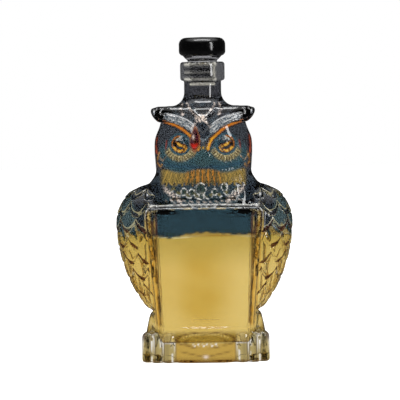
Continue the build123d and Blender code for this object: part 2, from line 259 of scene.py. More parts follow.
@dataclass(frozen=True)
class OwlForm:
    """The owl's outside and the room inside it, as distances in millimetres."""

    bottom_thickness: float = 15.0
    punt_depth: float = 1.6
    punt_margin: float = 9.0
    foot_round: float = 2.4
    belly_floor: float = 12.0
    panel_top: float = 119.0
    belly_top_half_width: float = 45.5
    belly_floor_half_width: float = 36.0
    belly_half_depth: float = 35.0
    belly_corner_radius: float = 7.0
    belly_edge_radius: float = 3.5
    panel_half_width: float = 33.8
    panel_middle: float = 70.5
    panel_half_height: float = 43.0
    panel_corner_radius: float = 4.0
    panel_lean: float = 0.026
    panel_foot: float = 29.0
    panel_sink: float = 0.7
    crown_height: float = 194.7
    crown_round: float = 3.0
    neck_radius: float = 14.25
    neck_fillet: float = 10.5
    lip_radius: float = 17.1
    lip_floor: float = 214.3
    lip_top: float = 228.8
    lip_round: float = 2.2
    bore_radius: float = 10.25
    belly_wall: float = 4.5
    chest_wall: float = 4.5
    head_wall: float = 5.0
    wing_wall: float = 6.6
    crown_wall: float = 5.5
    room_round: float = 5.0
    room_corner_radius: float = 5.0
    crease: float = 2.2
    run_on: float = 16.0
    ear_back: float = 7.0
    brow_rise: float = 1.3
    brow_half_width: float = 3.3
    eye_offset: float = 17.5
    eye_height: float = 166.7
    eye_ring_radius: float = 6.2
    pupil_radius: float = 4.0
    socket_radius: float = 12.5
    cheek_offset: float = 16.8
    cheek_height: float = 158.0
    cheek_half_width: float = 16.4
    cheek_half_length: float = 14.2
    muzzle_height: float = 156.0
    muzzle_radius: float = 7.4
    beak_root_height: float = 172.0
    toe_radius: float = 5.0
    toe_height: float = 23.6
    lobe_half_width: float = 23.5
    lobe_reach: float = 5.6
    lobe_height: float = 27.0
    base_reach: float = 37.6
    base: Stack = Stack(0, 36.0, 47.5, 35.5, 3.6, (
        (0, 0.970, 0.968), (0.14, 1, 1), (0.35, 0.992, 0.990), (0.60, 0.965, 0.960), (0.84, 0.928, 0.935),
        (1, 0.900, 0.915)))
    chest: Stack = Stack(98.0, 152.0, 44.5, 32.5, 3.0, (
        (0, 0.97, 1), (0.22, 1, 1), (0.40, 1, 0.965), (0.55, 0.990, 0.905), (0.68, 0.955, 0.850),
        (0.76, 0.885, 0.830), (0.84, 0.810, 0.815), (1, 0.77, 0.80), (1.25, 0.70, 0.66), (1.5, 0.56, 0.50)))
    head: Stack = Stack(139.0, 194.7, 38.0, 31.5, 2.5, (
        (-0.30, 0.70, 0.62), (-0.12, 0.84, 0.77), (0, 0.890, 0.855), (0.14, 0.925, 0.925),
        (0.38, 0.985, 0.985), (0.56, 0.975, 1), (0.72, 0.885, 0.970), (0.88, 0.820, 0.865),
        (1, 0.760, 0.740)))
    wing: Stack = Stack(36.0, 135.0, 67.2, 27.5, 2.15, (
        (0, 0.615, 0.34), (0.08, 0.705, 0.62), (0.18, 0.800, 0.80), (0.32, 0.895, 0.94), (0.50, 0.970, 1),
        (0.67, 1, 0.99), (0.80, 0.975, 0.93), (0.91, 0.885, 0.76), (1, 0.700, 0.42)), 30.0)
    mask: Stack = Stack(150.0, 194.7, 42.0, 34.6, 2.5, (
        (0, 0.93, 0.965), (0.28, 0.95, 1), (0.48, 0.97, 0.985), (0.68, 0.99, 0.925), (0.86, 1, 0.830),
        (1, 1, 0.735)))
    mask_edge_shares: Points = (
        (0, 0.386), (0.063, 0.424), (0.092, 0.503), (0.137, 0.575), (0.250, 0.653), (0.376, 0.722),
        (0.539, 0.770), (0.735, 0.795), (0.870, 0.792), (0.945, 0.820), (1.015, 0.872), (1.052, 0.930),
        (1.040, 0.975), (0.980, 1))
    toe_shares: Points = ((0.590, 0.905), (0.775, 0.865), (0.920, 0.740))

    def belly_half_width(self, z: Array) -> Array:
        """The belly block's half-width at a height."""
        share = (z - self.belly_floor) / (self.panel_top - self.belly_floor)
        return self.belly_floor_half_width + (self.belly_top_half_width - self.belly_floor_half_width) * share

    def from_window(self, half_width: float, across: Array, z: Array) -> Array:
        """How far places are outside an upright edge on the panel, which leans out upwards."""
        return across - half_width - self.panel_lean * (z - self.panel_foot)

    def mask_outline(self, steps: int = 4) -> Array:
        """The mask's outline from the front, its right half only.

        Args:
            steps: how many pieces each stretch between two shares is cut into.

        Returns:
            The corners, closed over the crown and left of the middle.
        """
        shares = np.array(self.mask_edge_shares)
        rows = np.arange(len(shares))
        fine = np.linspace(0, len(shares) - 1, steps * (len(shares) - 1) + 1)
        across = read_table(rows, shares[:, 0], fine) * self.head.half_width
        up = self.head.floor + read_table(rows, shares[:, 1], fine) * (self.head.top - self.head.floor)
        over = self.crown_height + 2 * self.crown_round
        beyond = -3 * self.crown_round
        closing = [(across[-1], over), (beyond, over), (beyond, up[0])]
        return np.vstack([np.column_stack([across, up]), closing])

    def brow_line(self, across: Array, z: Array) -> Array:
        """The distance to the mask's lower edge, negative on the mask."""
        return distance_to_outline(self.mask_outline(), across, z)

    def face_relief(self, x: Array, z: Array) -> Array:
        """How far the eyes, cheeks and muzzle stand out of the head.

        Args:
            x: places across the face.
            z: heights.

        Returns:
            The relief in millimetres.
        """
        across = np.abs(x)
        from_eye = np.hypot(across - self.eye_offset, z - self.eye_height)
        turn = np.arctan2(z - self.eye_height, across - self.eye_offset)
        cheek = np.hypot((across - self.cheek_offset) / self.cheek_half_width,
                         (z - self.cheek_height) / self.cheek_half_length)
        relief = 2.1 * rise(1.02, 0.86, cheek)
        relief = relief - 1.9 * rise(self.socket_radius, self.pupil_radius, from_eye)
        relief = relief + 1.5 * line(from_eye, self.eye_ring_radius, 1.25)
        relief = relief + 2.3 * bump(from_eye, 0, self.pupil_radius)
        fringe = rise(8.2, 9.6, from_eye) * rise(15.0, 12.5, from_eye) * rise(0.25, -0.45, np.sin(turn))
        relief = relief + 0.75 * fringe * np.cos(22 * turn)
        from_muzzle = np.hypot(x, z - self.muzzle_height)
        return np.maximum(relief, 3.6 * bump(from_muzzle, 0, self.muzzle_radius))

    def bib_edge(self, x: Array, z: Array, row: int) -> Array:
        """How far places are above the lower edges of a row of the bib's feathers.

        Args:
            x: places across.
            z: heights.
            row: the row's number, from the bottom.

        Returns:
            The heights, counted in rows.
        """
        beside = x / 7.6 + row / 2
        beside = beside - np.round(beside)
        return (z - 0.0075 * x * x - 118.0) / 6.2 - row - 1.9 * beside * beside

    def ruff_strokes(self, x: Array, z: Array) -> tuple[Array, Array]:
        """The count of the ruff's strokes from the middle, and where the ruff is.

        Args:
            x: places across.
            z: heights.

        Returns:
            The count, which is 0 at the middle, and the ruff's share, from 0 to 1.
        """
        stroke = x / (1 + 0.014 * (148.0 - z)) / 2.5
        end = 136.0 + 1.4 * np.sin(2.4 * np.floor(1.9 * stroke))
        return stroke, rise(148.5, 145.5, z) * rise(-0.6, 0.6, z - end) * rise(34.0, 29.0, np.abs(x))

    def throat_relief(self, x: Array, z: Array) -> Array:
        """How far the ruff's strokes and the rounded feathers under it stand out of the chest.

        Args:
            x: places across.
            z: heights.

        Returns:
            The relief in millimetres.
        """
        stroke, window = self.ruff_strokes(x, z)
        ruff = 1.3 * (0.35 + 0.65 * np.abs(np.sin(math.pi * stroke))) * window
        bib = np.zeros(np.broadcast(x, z).shape)
        for row in (1, 0):
            above = self.bib_edge(x, z, row)
            scale = 1.55 * rise(-0.06, 0.10, above) * (1 - 0.42 * np.clip(above, 0, 2.2))
            bib = np.maximum(bib, scale * rise(2.35 - row, 1.9 - row, above))
        bib = bib * rise(31.0, 25.0, np.abs(x))
        return np.maximum(ruff, bib)

    def mask_relief(self, x: Array, z: Array, edge: Array) -> Array:
        """How far the brows, the beak and the forehead's ridges stand out of the mask.

        Args:
            x: places across the face.
            z: heights.
            edge: distance to the mask's lower edge, negative on the mask.

        Returns:
            The relief in millimetres.
        """
        inwards = -edge
        across = np.abs(x)
        brow = self.brow_rise * bump(inwards, self.brow_half_width, self.brow_half_width)
        groove = 0.8 * line(inwards, self.brow_half_width, 0.9) * rise(6.0, 12.0, across)
        half_width = 1.8 + 0.15 * np.clip(170.0 - z, 0, 20)
        beak = 3.1 * bump(across / half_width, 0, 1) * rise(self.beak_root_height, 166.0, z)
        lean = 3.4 + (z - 187.6) * 0.90
        ridge = 0.9 * line(across, lean, 1.2) * rise(186.0, 188.5, z)
        middle = 0.9 * line(across, 1.6, 1.4) * rise(181.0, 183.5, z) * rise(189.5, 187.5, z)
        return np.maximum(brow - groove, 0) + beak + ridge + middle

    def upper(self, x: Array, y: Array, z: Array, chest_inset: float,
              head_inset: float) -> tuple[Array, Array]:
        """The distances to the chest and to the head, each run on into the other.

        Args:
            x: places across.
            y: places along.
            z: heights.
            chest_inset: how far the chest is drawn in.
            head_inset: how far the head is drawn in.

        Returns:
            Both distances.
        """
        over = self.chest.top + self.run_on - z
        chest = np.maximum(self.chest.distance(x, y, z, chest_inset), np.maximum(-over, self.chest.floor - z))
        head = np.maximum(self.head.distance(x, y, z, head_inset), self.head.floor - self.run_on - z)
        return chest, head

    def outside(self, x: Array, y: Array, z: Array) -> Array:
        """The distance to the owl's outside, without the wings' feathers.

        Args:
            x: places across.
            y: places along, with the face at the low end.
            z: heights.

        Returns:
            The distances, negative in the glass and in the room.
        """
        across = np.abs(x)
        front = rise(-1.0, -11.0, y)
        corner = self.belly_corner_radius * np.clip(0.42 + 0.58 * (z - self.belly_floor) / 100.0, 0.4, 1)
        block = round_block(across, y, self.belly_half_width(z), self.belly_half_depth, corner)
        inner = rounded_cut(self.from_window(self.panel_half_width, across, z),
                            np.abs(z - self.panel_middle) - self.panel_half_height, self.panel_corner_radius)
        block = block + self.panel_sink * rise(1.2, -1.2, inner) * rise(-30.0, -33.0, y)
        block = rounded_cut(block, z - self.panel_top, self.belly_edge_radius)
        block = np.maximum(block, self.belly_floor - 4 - z)
        base = smooth_max(self.base.distance(x, y, z), z - self.base.top, 4.0)
        form = smooth_min(block, base, 2.0)
        chest, head = self.upper(x, y, z, 0.0, 0.0)
        head = smooth_max(head, z - self.crown_height, self.crown_round)
        upper = smooth_min(chest, head, 7.0)
        upper = upper - front * (self.face_relief(x, z) + self.throat_relief(x, z))
        form = smooth_min(form, upper, 1.6)
        wing = self.wing.distance(across, y, z)
        wing = smooth_max(wing, np.maximum(z - self.wing.top, self.wing.floor - z), 5.0)
        form = smooth_min(form, wing, self.crease)
        for share_x, share_y in self.toe_shares:
            away = np.hypot(across - self.base.half_width * share_x, y + self.base.half_depth * share_y)
            toe = rounded_cut(away - self.toe_radius, z - self.toe_height, self.toe_radius * 0.95)
            form = smooth_min(form, toe, 2.2)
        lobe = Stack(0, self.lobe_height, self.lobe_half_width, self.lobe_reach, 2.0, ((0, 1, 1), (1, 1, 1)))
        lobe = lobe.distance(x, np.abs(y) - (self.base_reach - self.lobe_reach), z)
        form = smooth_min(form, rounded_cut(lobe, z - self.lobe_height, 1.6), 1.0)
        edge = self.brow_line(across, z)
        shell = self.mask.distance(x, y, z) - front * self.mask_relief(x, z, edge)
        mask = smooth_max(smooth_max(shell, edge, 1.8), y - self.ear_back, 7.0)
        mask = smooth_max(mask, z - self.crown_height, self.crown_round)
        form = smooth_min(form, mask, 0.9)
        away = np.hypot(x, y)
        neck = np.maximum(away - self.neck_radius, z - self.lip_floor - 2 * self.lip_round)
        neck = np.maximum(neck, self.crown_height - self.crown_wall - z)
        form = filleted_join(form, neck, self.neck_fillet)
        middle = (self.lip_floor + self.lip_top) / 2
        past_lip = np.abs(z - middle) - (self.lip_top - middle)
        lip = rounded_cut(away - self.lip_radius, past_lip, self.lip_round)
        form = smooth_min(form, lip, 0.8)
        form = smooth_max(form, -z, self.foot_round)
        punt = self.base.distance(x, y, z * 0, self.punt_margin)
        return smooth_max(form, -smooth_max(punt, z - self.punt_depth, 1.0), 0.8)

    def room(self, x: Array, y: Array, z: Array) -> Array:
        """The distance to the room inside the glass, negative in the room.

        Args:
            x: places across.
            y: places along.
            z: heights.

        Returns:
            The distances.
        """
        across = np.abs(x)
        half_width = 0.62 * (self.belly_half_width(z) - self.belly_top_half_width) + (
            self.belly_top_half_width - self.belly_wall)
        half_depth = self.belly_half_depth - self.belly_wall
        belly = round_block(across, y, half_width, half_depth, self.room_corner_radius)
        belly = rounded_cut(belly, self.bottom_thickness - z, self.room_round)
        belly = smooth_max(belly, z - (self.panel_top - self.belly_wall), self.room_round)
        wing = self.wing.distance(across, y, z, self.wing_wall)
        wing = smooth_max(wing, np.maximum(z - self.wing.top + self.wing_wall, self.wing.floor + 8 - z),
                          self.room_round)
        chest, head = self.upper(x, y, z, self.chest_wall, self.head_wall)
        head = smooth_max(head, z - (self.crown_height - self.crown_wall), self.room_round)
        room = smooth_min(smooth_min(belly, wing, 4.0), smooth_min(chest, head, 7.0), self.room_round)
        bore = np.maximum(np.hypot(x, y) - self.bore_radius, self.crown_height - 2 * self.crown_wall - z)
        return smooth_min(room, bore, self.room_round)

    def glass(self, x: Array, y: Array, z: Array) -> Array:
        """The distance to the glass: the outside less the room."""
        return smooth_max(self.outside(x, y, z), -self.room(x, y, z), 0.4)


def surface_of(values: Array, axes: Sequence[Array]) -> tuple[Array, Array]:
    """Finds the surface where a field on a grid changes sign, as four-sided faces.

    Args:
        values: the field on the grid, negative inside.
        axes: the grid's places along each axis.

    Returns:
        The corners' places and the faces' corner numbers, facing outwards.
    """
    cells = tuple(n - 1 for n in values.shape)
    total = int(np.prod(cells))
    steps = np.array([cells[1] * cells[2], cells[2], 1])
    sums = np.zeros((3, total))
    counts = np.zeros(total)
    quads = []
    inside = values < 0
    for axis in range(3):
        low = [slice(None)] * 3
        high = [slice(None)] * 3
        low[axis], high[axis] = slice(None, -1), slice(1, None)
        low, high = tuple(low), tuple(high)
        hits = np.nonzero(inside[low] != inside[high])
        before, after = values[low][hits], values[high][hits]
        share = before / (before - after)
        places = [axes[k][hits[k]] for k in range(3)]
        places[axis] = places[axis] + share * (axes[axis][hits[axis] + 1] - axes[axis][hits[axis]])
        first, second = (axis + 1) % 3, (axis + 2) % 3
        corner_cells = []
        for back_first, back_second in ((1, 1), (0, 1), (0, 0), (1, 0)):
            index = [np.array(h) for h in hits]
            index[first] = index[first] - back_first
            index[second] = index[second] - back_second
            corner_cells.append(index[0] * steps[0] + index[1] * steps[1] + index[2] * steps[2])
        for cell in corner_cells:
            counts += np.bincount(cell, minlength=total)
            for k in range(3):
                sums[k] += np.bincount(cell, places[k], minlength=total)
        loop = np.column_stack(corner_cells)
        turned = loop[:, ::-1]
        quads.append(np.where((before < 0)[:, None], loop, turned))
    used = np.nonzero(counts)[0]
    points = (sums[:, used] / counts[used]).T
    number = np.full(total, -1)
    number[used] = np.arange(len(used))
    return points, number[np.vstack(quads)]


def graded(low: float, high: float, stretches: Points) -> Array:
    """Places from low to high with a step of their own in each stretch.

    Args:
        low: the first place.
        high: what the last place passes.
        stretches: where each stretch ends and its step.

    Returns:
        The places.
    """
    places = [low]
    while places[-1] < high:
        step = next((step for end, step in stretches if places[-1] < end), stretches[-1][1])
        places.append(places[-1] + step)
    return np.array(places)


def settle(points: Array, field: Callable[[Array, Array, Array], Array], rounds: int = 2) -> Array:
    """Moves points onto a field's surface.

    Args:
        points: the places, one row each.
        field: the field whose zero is the surface.
        rounds: how often each point is moved.

    Returns:
        The moved places.
    """
    probe = 0.05
    for _ in range(rounds):
        x, y, z = points.T
        here = field(x, y, z)
        slope = np.column_stack([field(x + probe, y, z) - here, field(x, y + probe, z) - here,
                                 field(x, y, z + probe) - here]) / probe
        size = np.maximum((slope * slope).sum(1), 0.25)
        move = np.clip(here / size, -0.5, 0.5)[:, None] * slope
        points = points - move
    return points


def mesh_from(name: str, points: Array, faces: Array) -> bpy.types.Mesh:
    """Makes a mesh from arrays.

    Args:
        name: the mesh's name.
        points: corners in millimetres, one row each.
        faces: corner numbers, four to a face.

    Returns:
        The mesh, in metres, shaded smooth.
    """
    mesh = bpy.data.meshes.new(name)
    mesh.vertices.add(len(points))
    mesh.vertices.foreach_set("co", (points * MM).ravel())
    mesh.loops.add(faces.size)
    mesh.loops.foreach_set("vertex_index", faces.ravel().astype(np.int32))
    mesh.polygons.add(len(faces))
    mesh.polygons.foreach_set("loop_start", np.arange(0, faces.size, faces.shape[1], dtype=np.int32))
    mesh.update(calc_edges=True)
    mesh.validate()
    mesh.shade_smooth()
    return mesh


def shown(name: str, mesh: bpy.types.Mesh) -> bpy.types.Object:
    """Puts a mesh in the scene.

    Args:
        name: the piece's name.
        mesh: its mesh.

    Returns:
        The piece.
    """
    piece = bpy.data.objects.new(name, mesh)
    bpy.context.scene.collection.objects.link(piece)
    return piece


def keep_attribute(mesh: bpy.types.Mesh, name: str, values: Array) -> None:
    """Stores one number for each of a mesh's corners, under the attribute's name."""
    attribute = mesh.attributes.new(name, "FLOAT", "POINT")
    attribute.data.foreach_set("value", np.asarray(values, np.float32))


def baked(piece: bpy.types.Object) -> bpy.types.Object:
    """Turns a piece's modifiers into its mesh.

    Args:
        piece: the piece, whose modifiers are then removed.

    Returns:
        The same piece.
    """
    graph = bpy.context.evaluated_depsgraph_get()
    mesh = bpy.data.meshes.new_from_object(piece.evaluated_get(graph), depsgraph=graph)
    piece.modifiers.clear()
    old = piece.data
    piece.data = mesh
    bpy.data.meshes.remove(old)
    return piece


class Tree:
    """A node tree in the making, for shapes or for shaders."""

    def __init__(self, tree: bpy.types.NodeTree) -> None:
        """Starts on a tree that nodes are added to."""
        self.tree = tree

    def add(self, kind: str, **settings: object) -> Node:
        """Adds a node.

        Args:
            kind: the node's type name.
            settings: properties to set on it.

        Returns:
            The node.
        """
        node = self.tree.nodes.new(kind)
        for key, value in settings.items():
            setattr(node, key, value)
        return node

    def feed(self, socket: Socket, value: object) -> None:
        """Links a socket to another, or sets its value.

        Args:
            socket: the input to feed.
            value: a socket, a value, or None to leave it as it is.
        """
        if isinstance(value, Socket):
            self.tree.links.new(value, socket)
        elif value is not None:
            socket.default_value = value

    def fill(self, node: Node, values: dict[object, object]) -> Node:
        """Feeds several inputs of a node.

        Args:
            node: the node.
            values: a socket or a value for each input, by its name or number.

        Returns:
            The node.
        """
        for key, value in values.items():
            self.feed(node.inputs[key], value)
        return node

    def math(self, operation: str, *values: object) -> Socket:
        """The result of a math node, such as ADD, of numbers or sockets in order."""
        return self.fill(self.add("ShaderNodeMath", operation=operation), dict(enumerate(values))).outputs[0]

    def ramp(self, value: object, low: object, high: object, start: float = 0.0,
             end: float = 1.0) -> Socket:
        """Maps a value smoothly from low to high onto start to end, and no further."""
        node = self.add("ShaderNodeMapRange", interpolation_type="SMOOTHSTEP")
        return self.fill(node, dict(enumerate((value, low, high, start, end)))).outputs[0]

    def mix(self, share: object, one: object, other: object) -> Socket:
        """Mixes two colours, by the share of the other."""
        one, other = ((*colour, 1.0) if isinstance(colour, tuple) else colour for colour in (one, other))
        return self.fill(self.add("ShaderNodeMix", data_type="RGBA"), {0: share, 6: one, 7: other}).outputs[2]

    def place(self, kind: str = "Object") -> Socket:
        """The shaded place, by default in the object's own coordinates."""
        return self.add("ShaderNodeTexCoord").outputs[kind]

    def split(self, vector: Socket) -> Sequence[Socket]:
        """The X, Y and Z of a vector."""
        return self.fill(self.add("ShaderNodeSeparateXYZ"), {0: vector}).outputs

    def noise(self, scale: object, detail: float = 2.0) -> Socket:
        """Smooth noise over the object, from 0 to 1, with some finer layers."""
        node = self.add("ShaderNodeTexNoise")
        return self.fill(node, {"Vector": self.place(), "Scale": scale, "Detail": detail}).outputs["Fac"]


def new_group(kind: str, name: str, takes: Sequence[tuple[str, str, object]],
              gives: Sequence[tuple[str, str]]) -> tuple[Tree, Node, Node]:
    """Starts a node group with named sockets.

    Args:
        kind: the tree's type name.
        name: the group's name.
        takes: name, socket type and default of each input.
        gives: name and socket type of each output.

    Returns:
        The tree, its input node and its output node.
    """
    tree = bpy.data.node_groups.new(name, kind)
    for label, socket_type, default in takes:
        socket = tree.interface.new_socket(label, in_out="INPUT", socket_type=socket_type)
        if default is not None:
            socket.default_value = default
    for label, socket_type in gives:
        tree.interface.new_socket(label, in_out="OUTPUT", socket_type=socket_type)
    maker = Tree(tree)
    return maker, maker.add("NodeGroupInput"), maker.add("NodeGroupOutput")


def set_inputs(modifier: bpy.types.Modifier, values: dict[str, object]) -> None:
    """Sets a geometry tree's named inputs on a modifier.

    Args:
        modifier: the modifier, with its tree set.
        values: the values by input name.
    """
    for item in modifier.node_group.interface.items_tree:
        if item.item_type == "SOCKET" and item.in_out == "INPUT" and item.name in values:
            modifier[item.identifier] = values[item.name]


def end_shape(made: Tree, takes: Node, gives: Node,
              geometry: Socket) -> bpy.types.NodeTree:
    """Ends a shape's tree with real geometry in its material.

    Args:
        made: the tree.
        takes: its input node.
        gives: its output node.
        geometry: the finished shape.

    Returns:
        The tree as Blender keeps it.
    """
    real = made.fill(made.add("GeometryNodeRealizeInstances"), {0: geometry})
    dress = made.fill(made.add("GeometryNodeSetMaterial"), {
        "Geometry": real.outputs[0], "Material": takes.outputs["Material"]})
    made.feed(gives.inputs[0], dress.outputs[0])
    return made.tree


def feather_tree() -> bpy.types.NodeTree:
    """Makes the tree that raises rows of overlapping feathers on the wings.

    It reads wing_u, wing_v and wing_share. It keeps feather_edge, strongest at lower edges, for the shader's
    painted shade and highlights.

    Returns:
        The tree.
    """
    made, takes, gives = new_group(
        "GeometryNodeTree", "wing_feathers",
        [("Geometry", "NodeSocketGeometry", None), ("Rise", "NodeSocketFloat", 0.0014),
         ("Roundness", "NodeSocketFloat", 0.62), ("Edge", "NodeSocketFloat", 0.10),
         ("Material", "NodeSocketMaterial", None)],
        [("Geometry", "NodeSocketGeometry")])

    def read(name: str) -> Socket:
        """A stored number."""
        node = made.add("GeometryNodeInputNamedAttribute", data_type="FLOAT")
        return made.fill(node, {"Name": name}).outputs["Attribute"]

    along, up, share = read("wing_u"), read("wing_v"), read("wing_share")
    row = made.math("FLOOR", up)
    row_below = made.math("SUBTRACT", row, 1.0)

    def beside(this_row: object) -> Socket:
        """How far a place is beside the middle of its feather in a row.

        Args:
            this_row: the row's number, where odd rows are set half a feather further.

        Returns:
            The distance, counted in feathers.
        """
        half = made.math("MULTIPLY", made.math("FLOORED_MODULO", this_row, 2.0), 0.5)
        place = made.math("ADD", along, half)
        return made.math("SUBTRACT", place, made.math("ROUND", place))

    def above(this_row: object) -> Socket:
        """How far a place is above the lower edge of the feather of a row.

        Args:
            this_row: the row's number.

        Returns:
            The height, counted in rows.
        """
        aside = beside(this_row)
        arc = made.math("MULTIPLY", made.math("MULTIPLY", aside, aside), 4.0)
        arc = made.math("MULTIPLY", arc, takes.outputs["Roundness"])
        return made.math("SUBTRACT", made.math("SUBTRACT", up, this_row), arc)

    def flank(this_row: object) -> Socket:
        """How strongly the painted shade at a feather's edge shows here: most on the flank that faces the
        wing's side.
        """
        turned = made.math("MULTIPLY", beside(this_row), made.math("SIGN", along))
        return made.ramp(turned, 0.22, -0.12, 0.25, 1.0)

    upper = above(row)
    on_upper = made.math("GREATER_THAN", upper, 0.0)
    on_lower = made.math("SUBTRACT", 1.0, on_upper)

    def covering(of_upper: object, of_lower: object) -> Socket:
        """The upper row's value where its feather covers a place, and the lower row's elsewhere."""
        return made.math("ADD", made.math("MULTIPLY", of_upper, on_upper),
                         made.math("MULTIPLY", of_lower, on_lower))

    height = covering(upper, above(row_below))
    near_edge = made.ramp(height, 0.0, takes.outputs["Edge"])
    lift = made.math("MULTIPLY", near_edge, made.ramp(height, 0.0, 1.7, 1.0, 0.0))
    lift = made.math("MULTIPLY", made.math("SUBTRACT", lift, 0.35), takes.outputs["Rise"])
    normal = made.add("GeometryNodeInputNormal").outputs["Normal"]
    offset = made.fill(made.add("ShaderNodeVectorMath", operation="SCALE"), {
        0: normal, "Scale": made.math("MULTIPLY", lift, share)})
    edge = made.math("MULTIPLY", made.ramp(height, 0.42, 0.0), share)
    store = made.fill(made.add("GeometryNodeStoreNamedAttribute", data_type="FLOAT", domain="POINT"), {
        "Geometry": takes.outputs["Geometry"], "Name": "feather_edge",
        "Value": made.math("MULTIPLY", edge, covering(flank(row), flank(row_below)))})
    move = made.fill(made.add("GeometryNodeSetPosition"), {
        "Geometry": store.outputs["Geometry"], "Offset": offset.outputs[0]})
    return end_shape(made, takes, gives, move.outputs[0])


def turning_tree() -> bpy.types.NodeTree:
    """Makes the tree that turns a profile round the upright axis.

    The profile is a mesh of loose points: X is the radius and Z is the height.

    Returns:
        The tree.
    """
    made, takes, gives = new_group(
        "GeometryNodeTree", "turned_piece",
        [("Geometry", "NodeSocketGeometry", None), ("Points", "NodeSocketInt", 8),
         ("Segments", "NodeSocketInt", 96), ("Material", "NodeSocketMaterial", None)],
        [("Geometry", "NodeSocketGeometry")])
    index, points = made.add("GeometryNodeInputIndex").outputs[0], takes.outputs["Points"]
    grid = made.fill(made.add("GeometryNodeMeshGrid"), {
        "Vertices X": made.math("ADD", takes.outputs["Segments"], 1.0), "Vertices Y": points})
    column = made.math("FLOOR", made.math("DIVIDE", made.math("ADD", index, 0.5), points))
    turn = made.math("DIVIDE", made.math("MULTIPLY", column, 2 * math.pi), takes.outputs["Segments"])
    sample = made.fill(made.add("GeometryNodeSampleIndex", data_type="FLOAT_VECTOR", domain="POINT"), {
        "Geometry": takes.outputs["Geometry"], "Value": made.add("GeometryNodeInputPosition").outputs[0],
        "Index": made.math("MODULO", index, points)})
    radius, _, height = made.split(sample.outputs[0])
    join = made.fill(made.add("ShaderNodeCombineXYZ"), {
        0: made.math("MULTIPLY", radius, made.math("COSINE", turn)),
        1: made.math("MULTIPLY", radius, made.math("SINE", turn)), 2: height})
    move = made.fill(made.add("GeometryNodeSetPosition"), {
        "Geometry": grid.outputs[0], "Position": join.outputs[0]})
    merge = made.fill(made.add("GeometryNodeMergeByDistance"), {
        "Geometry": move.outputs[0], "Distance": 0.00001})
    return end_shape(made, takes, gives, merge.outputs[0])


def ripple_group() -> bpy.types.NodeTree:
    """Makes the shader group of the slow waves that a mould leaves in glass.

    Returns:
        The group, which gives a height from the object's own place.
    """
    made, takes, gives = new_group(
        "ShaderNodeTree", "mould_ripple",
        [("Wave", "NodeSocketFloat", 70.0), ("Fine", "NodeSocketFloat", 420.0),
         ("Fine Share", "NodeSocketFloat", 0.12)],
        [("Height", "NodeSocketFloat")])
    wave, fine = made.noise(takes.outputs["Wave"], 1.0), made.noise(takes.outputs["Fine"])
    fine = made.math("MULTIPLY", fine, takes.outputs["Fine Share"])
    made.feed(gives.inputs[0], made.math("ADD", wave, fine))
    return made.tree


def feather_shade_and_glint_group() -> bpy.types.NodeTree:
    """Makes the shader group of painted shade along each feather's lower edge, brown over the liquor's gold
    and cold above it, with a painted highlight beside the shade.

    Returns:
        The group.
    """
    made, takes, gives = new_group(
        "ShaderNodeTree", "feather_shade_and_glint",
        [("Color", "NodeSocketColor", (1, 1, 1, 1)), ("Edge", "NodeSocketFloat", 0.0),
         ("Level", "NodeSocketFloat", 0.093), ("Dark", "NodeSocketColor", (*linear(92, 50, 18), 1)),
         ("Cold", "NodeSocketColor", (*linear(30, 36, 42), 1)),
         ("Bright", "NodeSocketColor", (*linear(228, 214, 160), 1))],
        [("Color", "NodeSocketColor")])
    # Dark and Cold are the painted shade below and above the liquor's level; Bright is the painted highlight.
    over = made.math("SUBTRACT", made.split(made.place())[2], takes.outputs["Level"])
    above = made.ramp(over, -0.010, 0.022)
    edge = made.math("MULTIPLY", takes.outputs["Edge"], made.ramp(made.noise(85.0), 0.35, 0.65, 0.55, 1.25))
    dark = made.mix(above, takes.outputs["Dark"], takes.outputs["Cold"])
    colour = made.mix(made.math("MULTIPLY", made.ramp(edge, 0.14, 0.36), 0.95), takes.outputs["Color"], dark)
    lit = made.math("MULTIPLY", made.ramp(edge, 0.03, 0.10), made.ramp(edge, 0.20, 0.12))
    colour = made.mix(made.math("MULTIPLY", lit, made.ramp(over, -0.020, 0.0, 0.25, 0.40)), colour,
                      takes.outputs["Bright"])
    made.feed(gives.inputs[0], colour)
    return made.tree


class Shared:
    """The shader groups that the finishes draw on, each built once."""

    def __init__(self) -> None:
        """Builds the groups."""
        self.ripple = ripple_group()
        self.feather_shade_and_glint = feather_shade_and_glint_group()


def start_material(name: str) -> tuple[Material, Tree, Node, Node]:
    """Starts a node material.

    Args:
        name: the material's name.

    Returns:
        The material, its tree, its main shader and its output node.
    """
    material = bpy.data.materials.new(name)
    material.use_nodes = True
    made = Tree(material.node_tree)
    shader = next(node for node in material.node_tree.nodes if node.type == "BSDF_PRINCIPLED")
    output = next(node for node in material.node_tree.nodes if node.type == "OUTPUT_MATERIAL")
    return material, made, shader, output


def add_ripple(made: Tree, shared: Shared, shader: Node, strength: float, distance: float,
               wave: float) -> None:
    """Gives a shader the mould's ripple as a bump.

    Args:
        made: the material's tree.
        shared: the shared groups.
        shader: the shader to feed.
        strength: the bump's strength.
        distance: the bump's height in metres.
        wave: the slow wave's scale.
    """
    ripple = made.add("ShaderNodeGroup", node_tree=shared.ripple)
    made.fill(ripple, {"Wave": wave})
    lift = made.fill(made.add("ShaderNodeBump"), {
        "Strength": strength, "Distance": distance, "Height": ripple.outputs["Height"]})
    made.feed(shader.inputs["Normal"], lift.outputs["Normal"])


def make_clear(made: Tree, shader: Node, roughness: float, index: float) -> None:
    """Makes a shader's stuff clear."""
    made.fill(shader, {"Roughness": roughness, "IOR": index, "Transmission Weight": 1.0})


def let_light_through(made: Tree, shader: Node, output: Node, colour: Colour) -> None:
    """Lets lamps shine through clear stuff, so that its shadow is pale.

    Args:
        made: the material's tree.
        shader: the main shader.
        output: the material's output.
        colour: the tint of the light that comes through.
    """
    clear = made.fill(made.add("ShaderNodeBsdfTransparent"), {0: (*colour, 1.0)})
    in_shadow = made.add("ShaderNodeLightPath").outputs["Is Shadow Ray"]
    mixed = made.fill(made.add("ShaderNodeMixShader"), {
        0: in_shadow, 1: shader.outputs[0], 2: clear.outputs[0]})
    made.feed(output.inputs["Surface"], mixed.outputs[0])


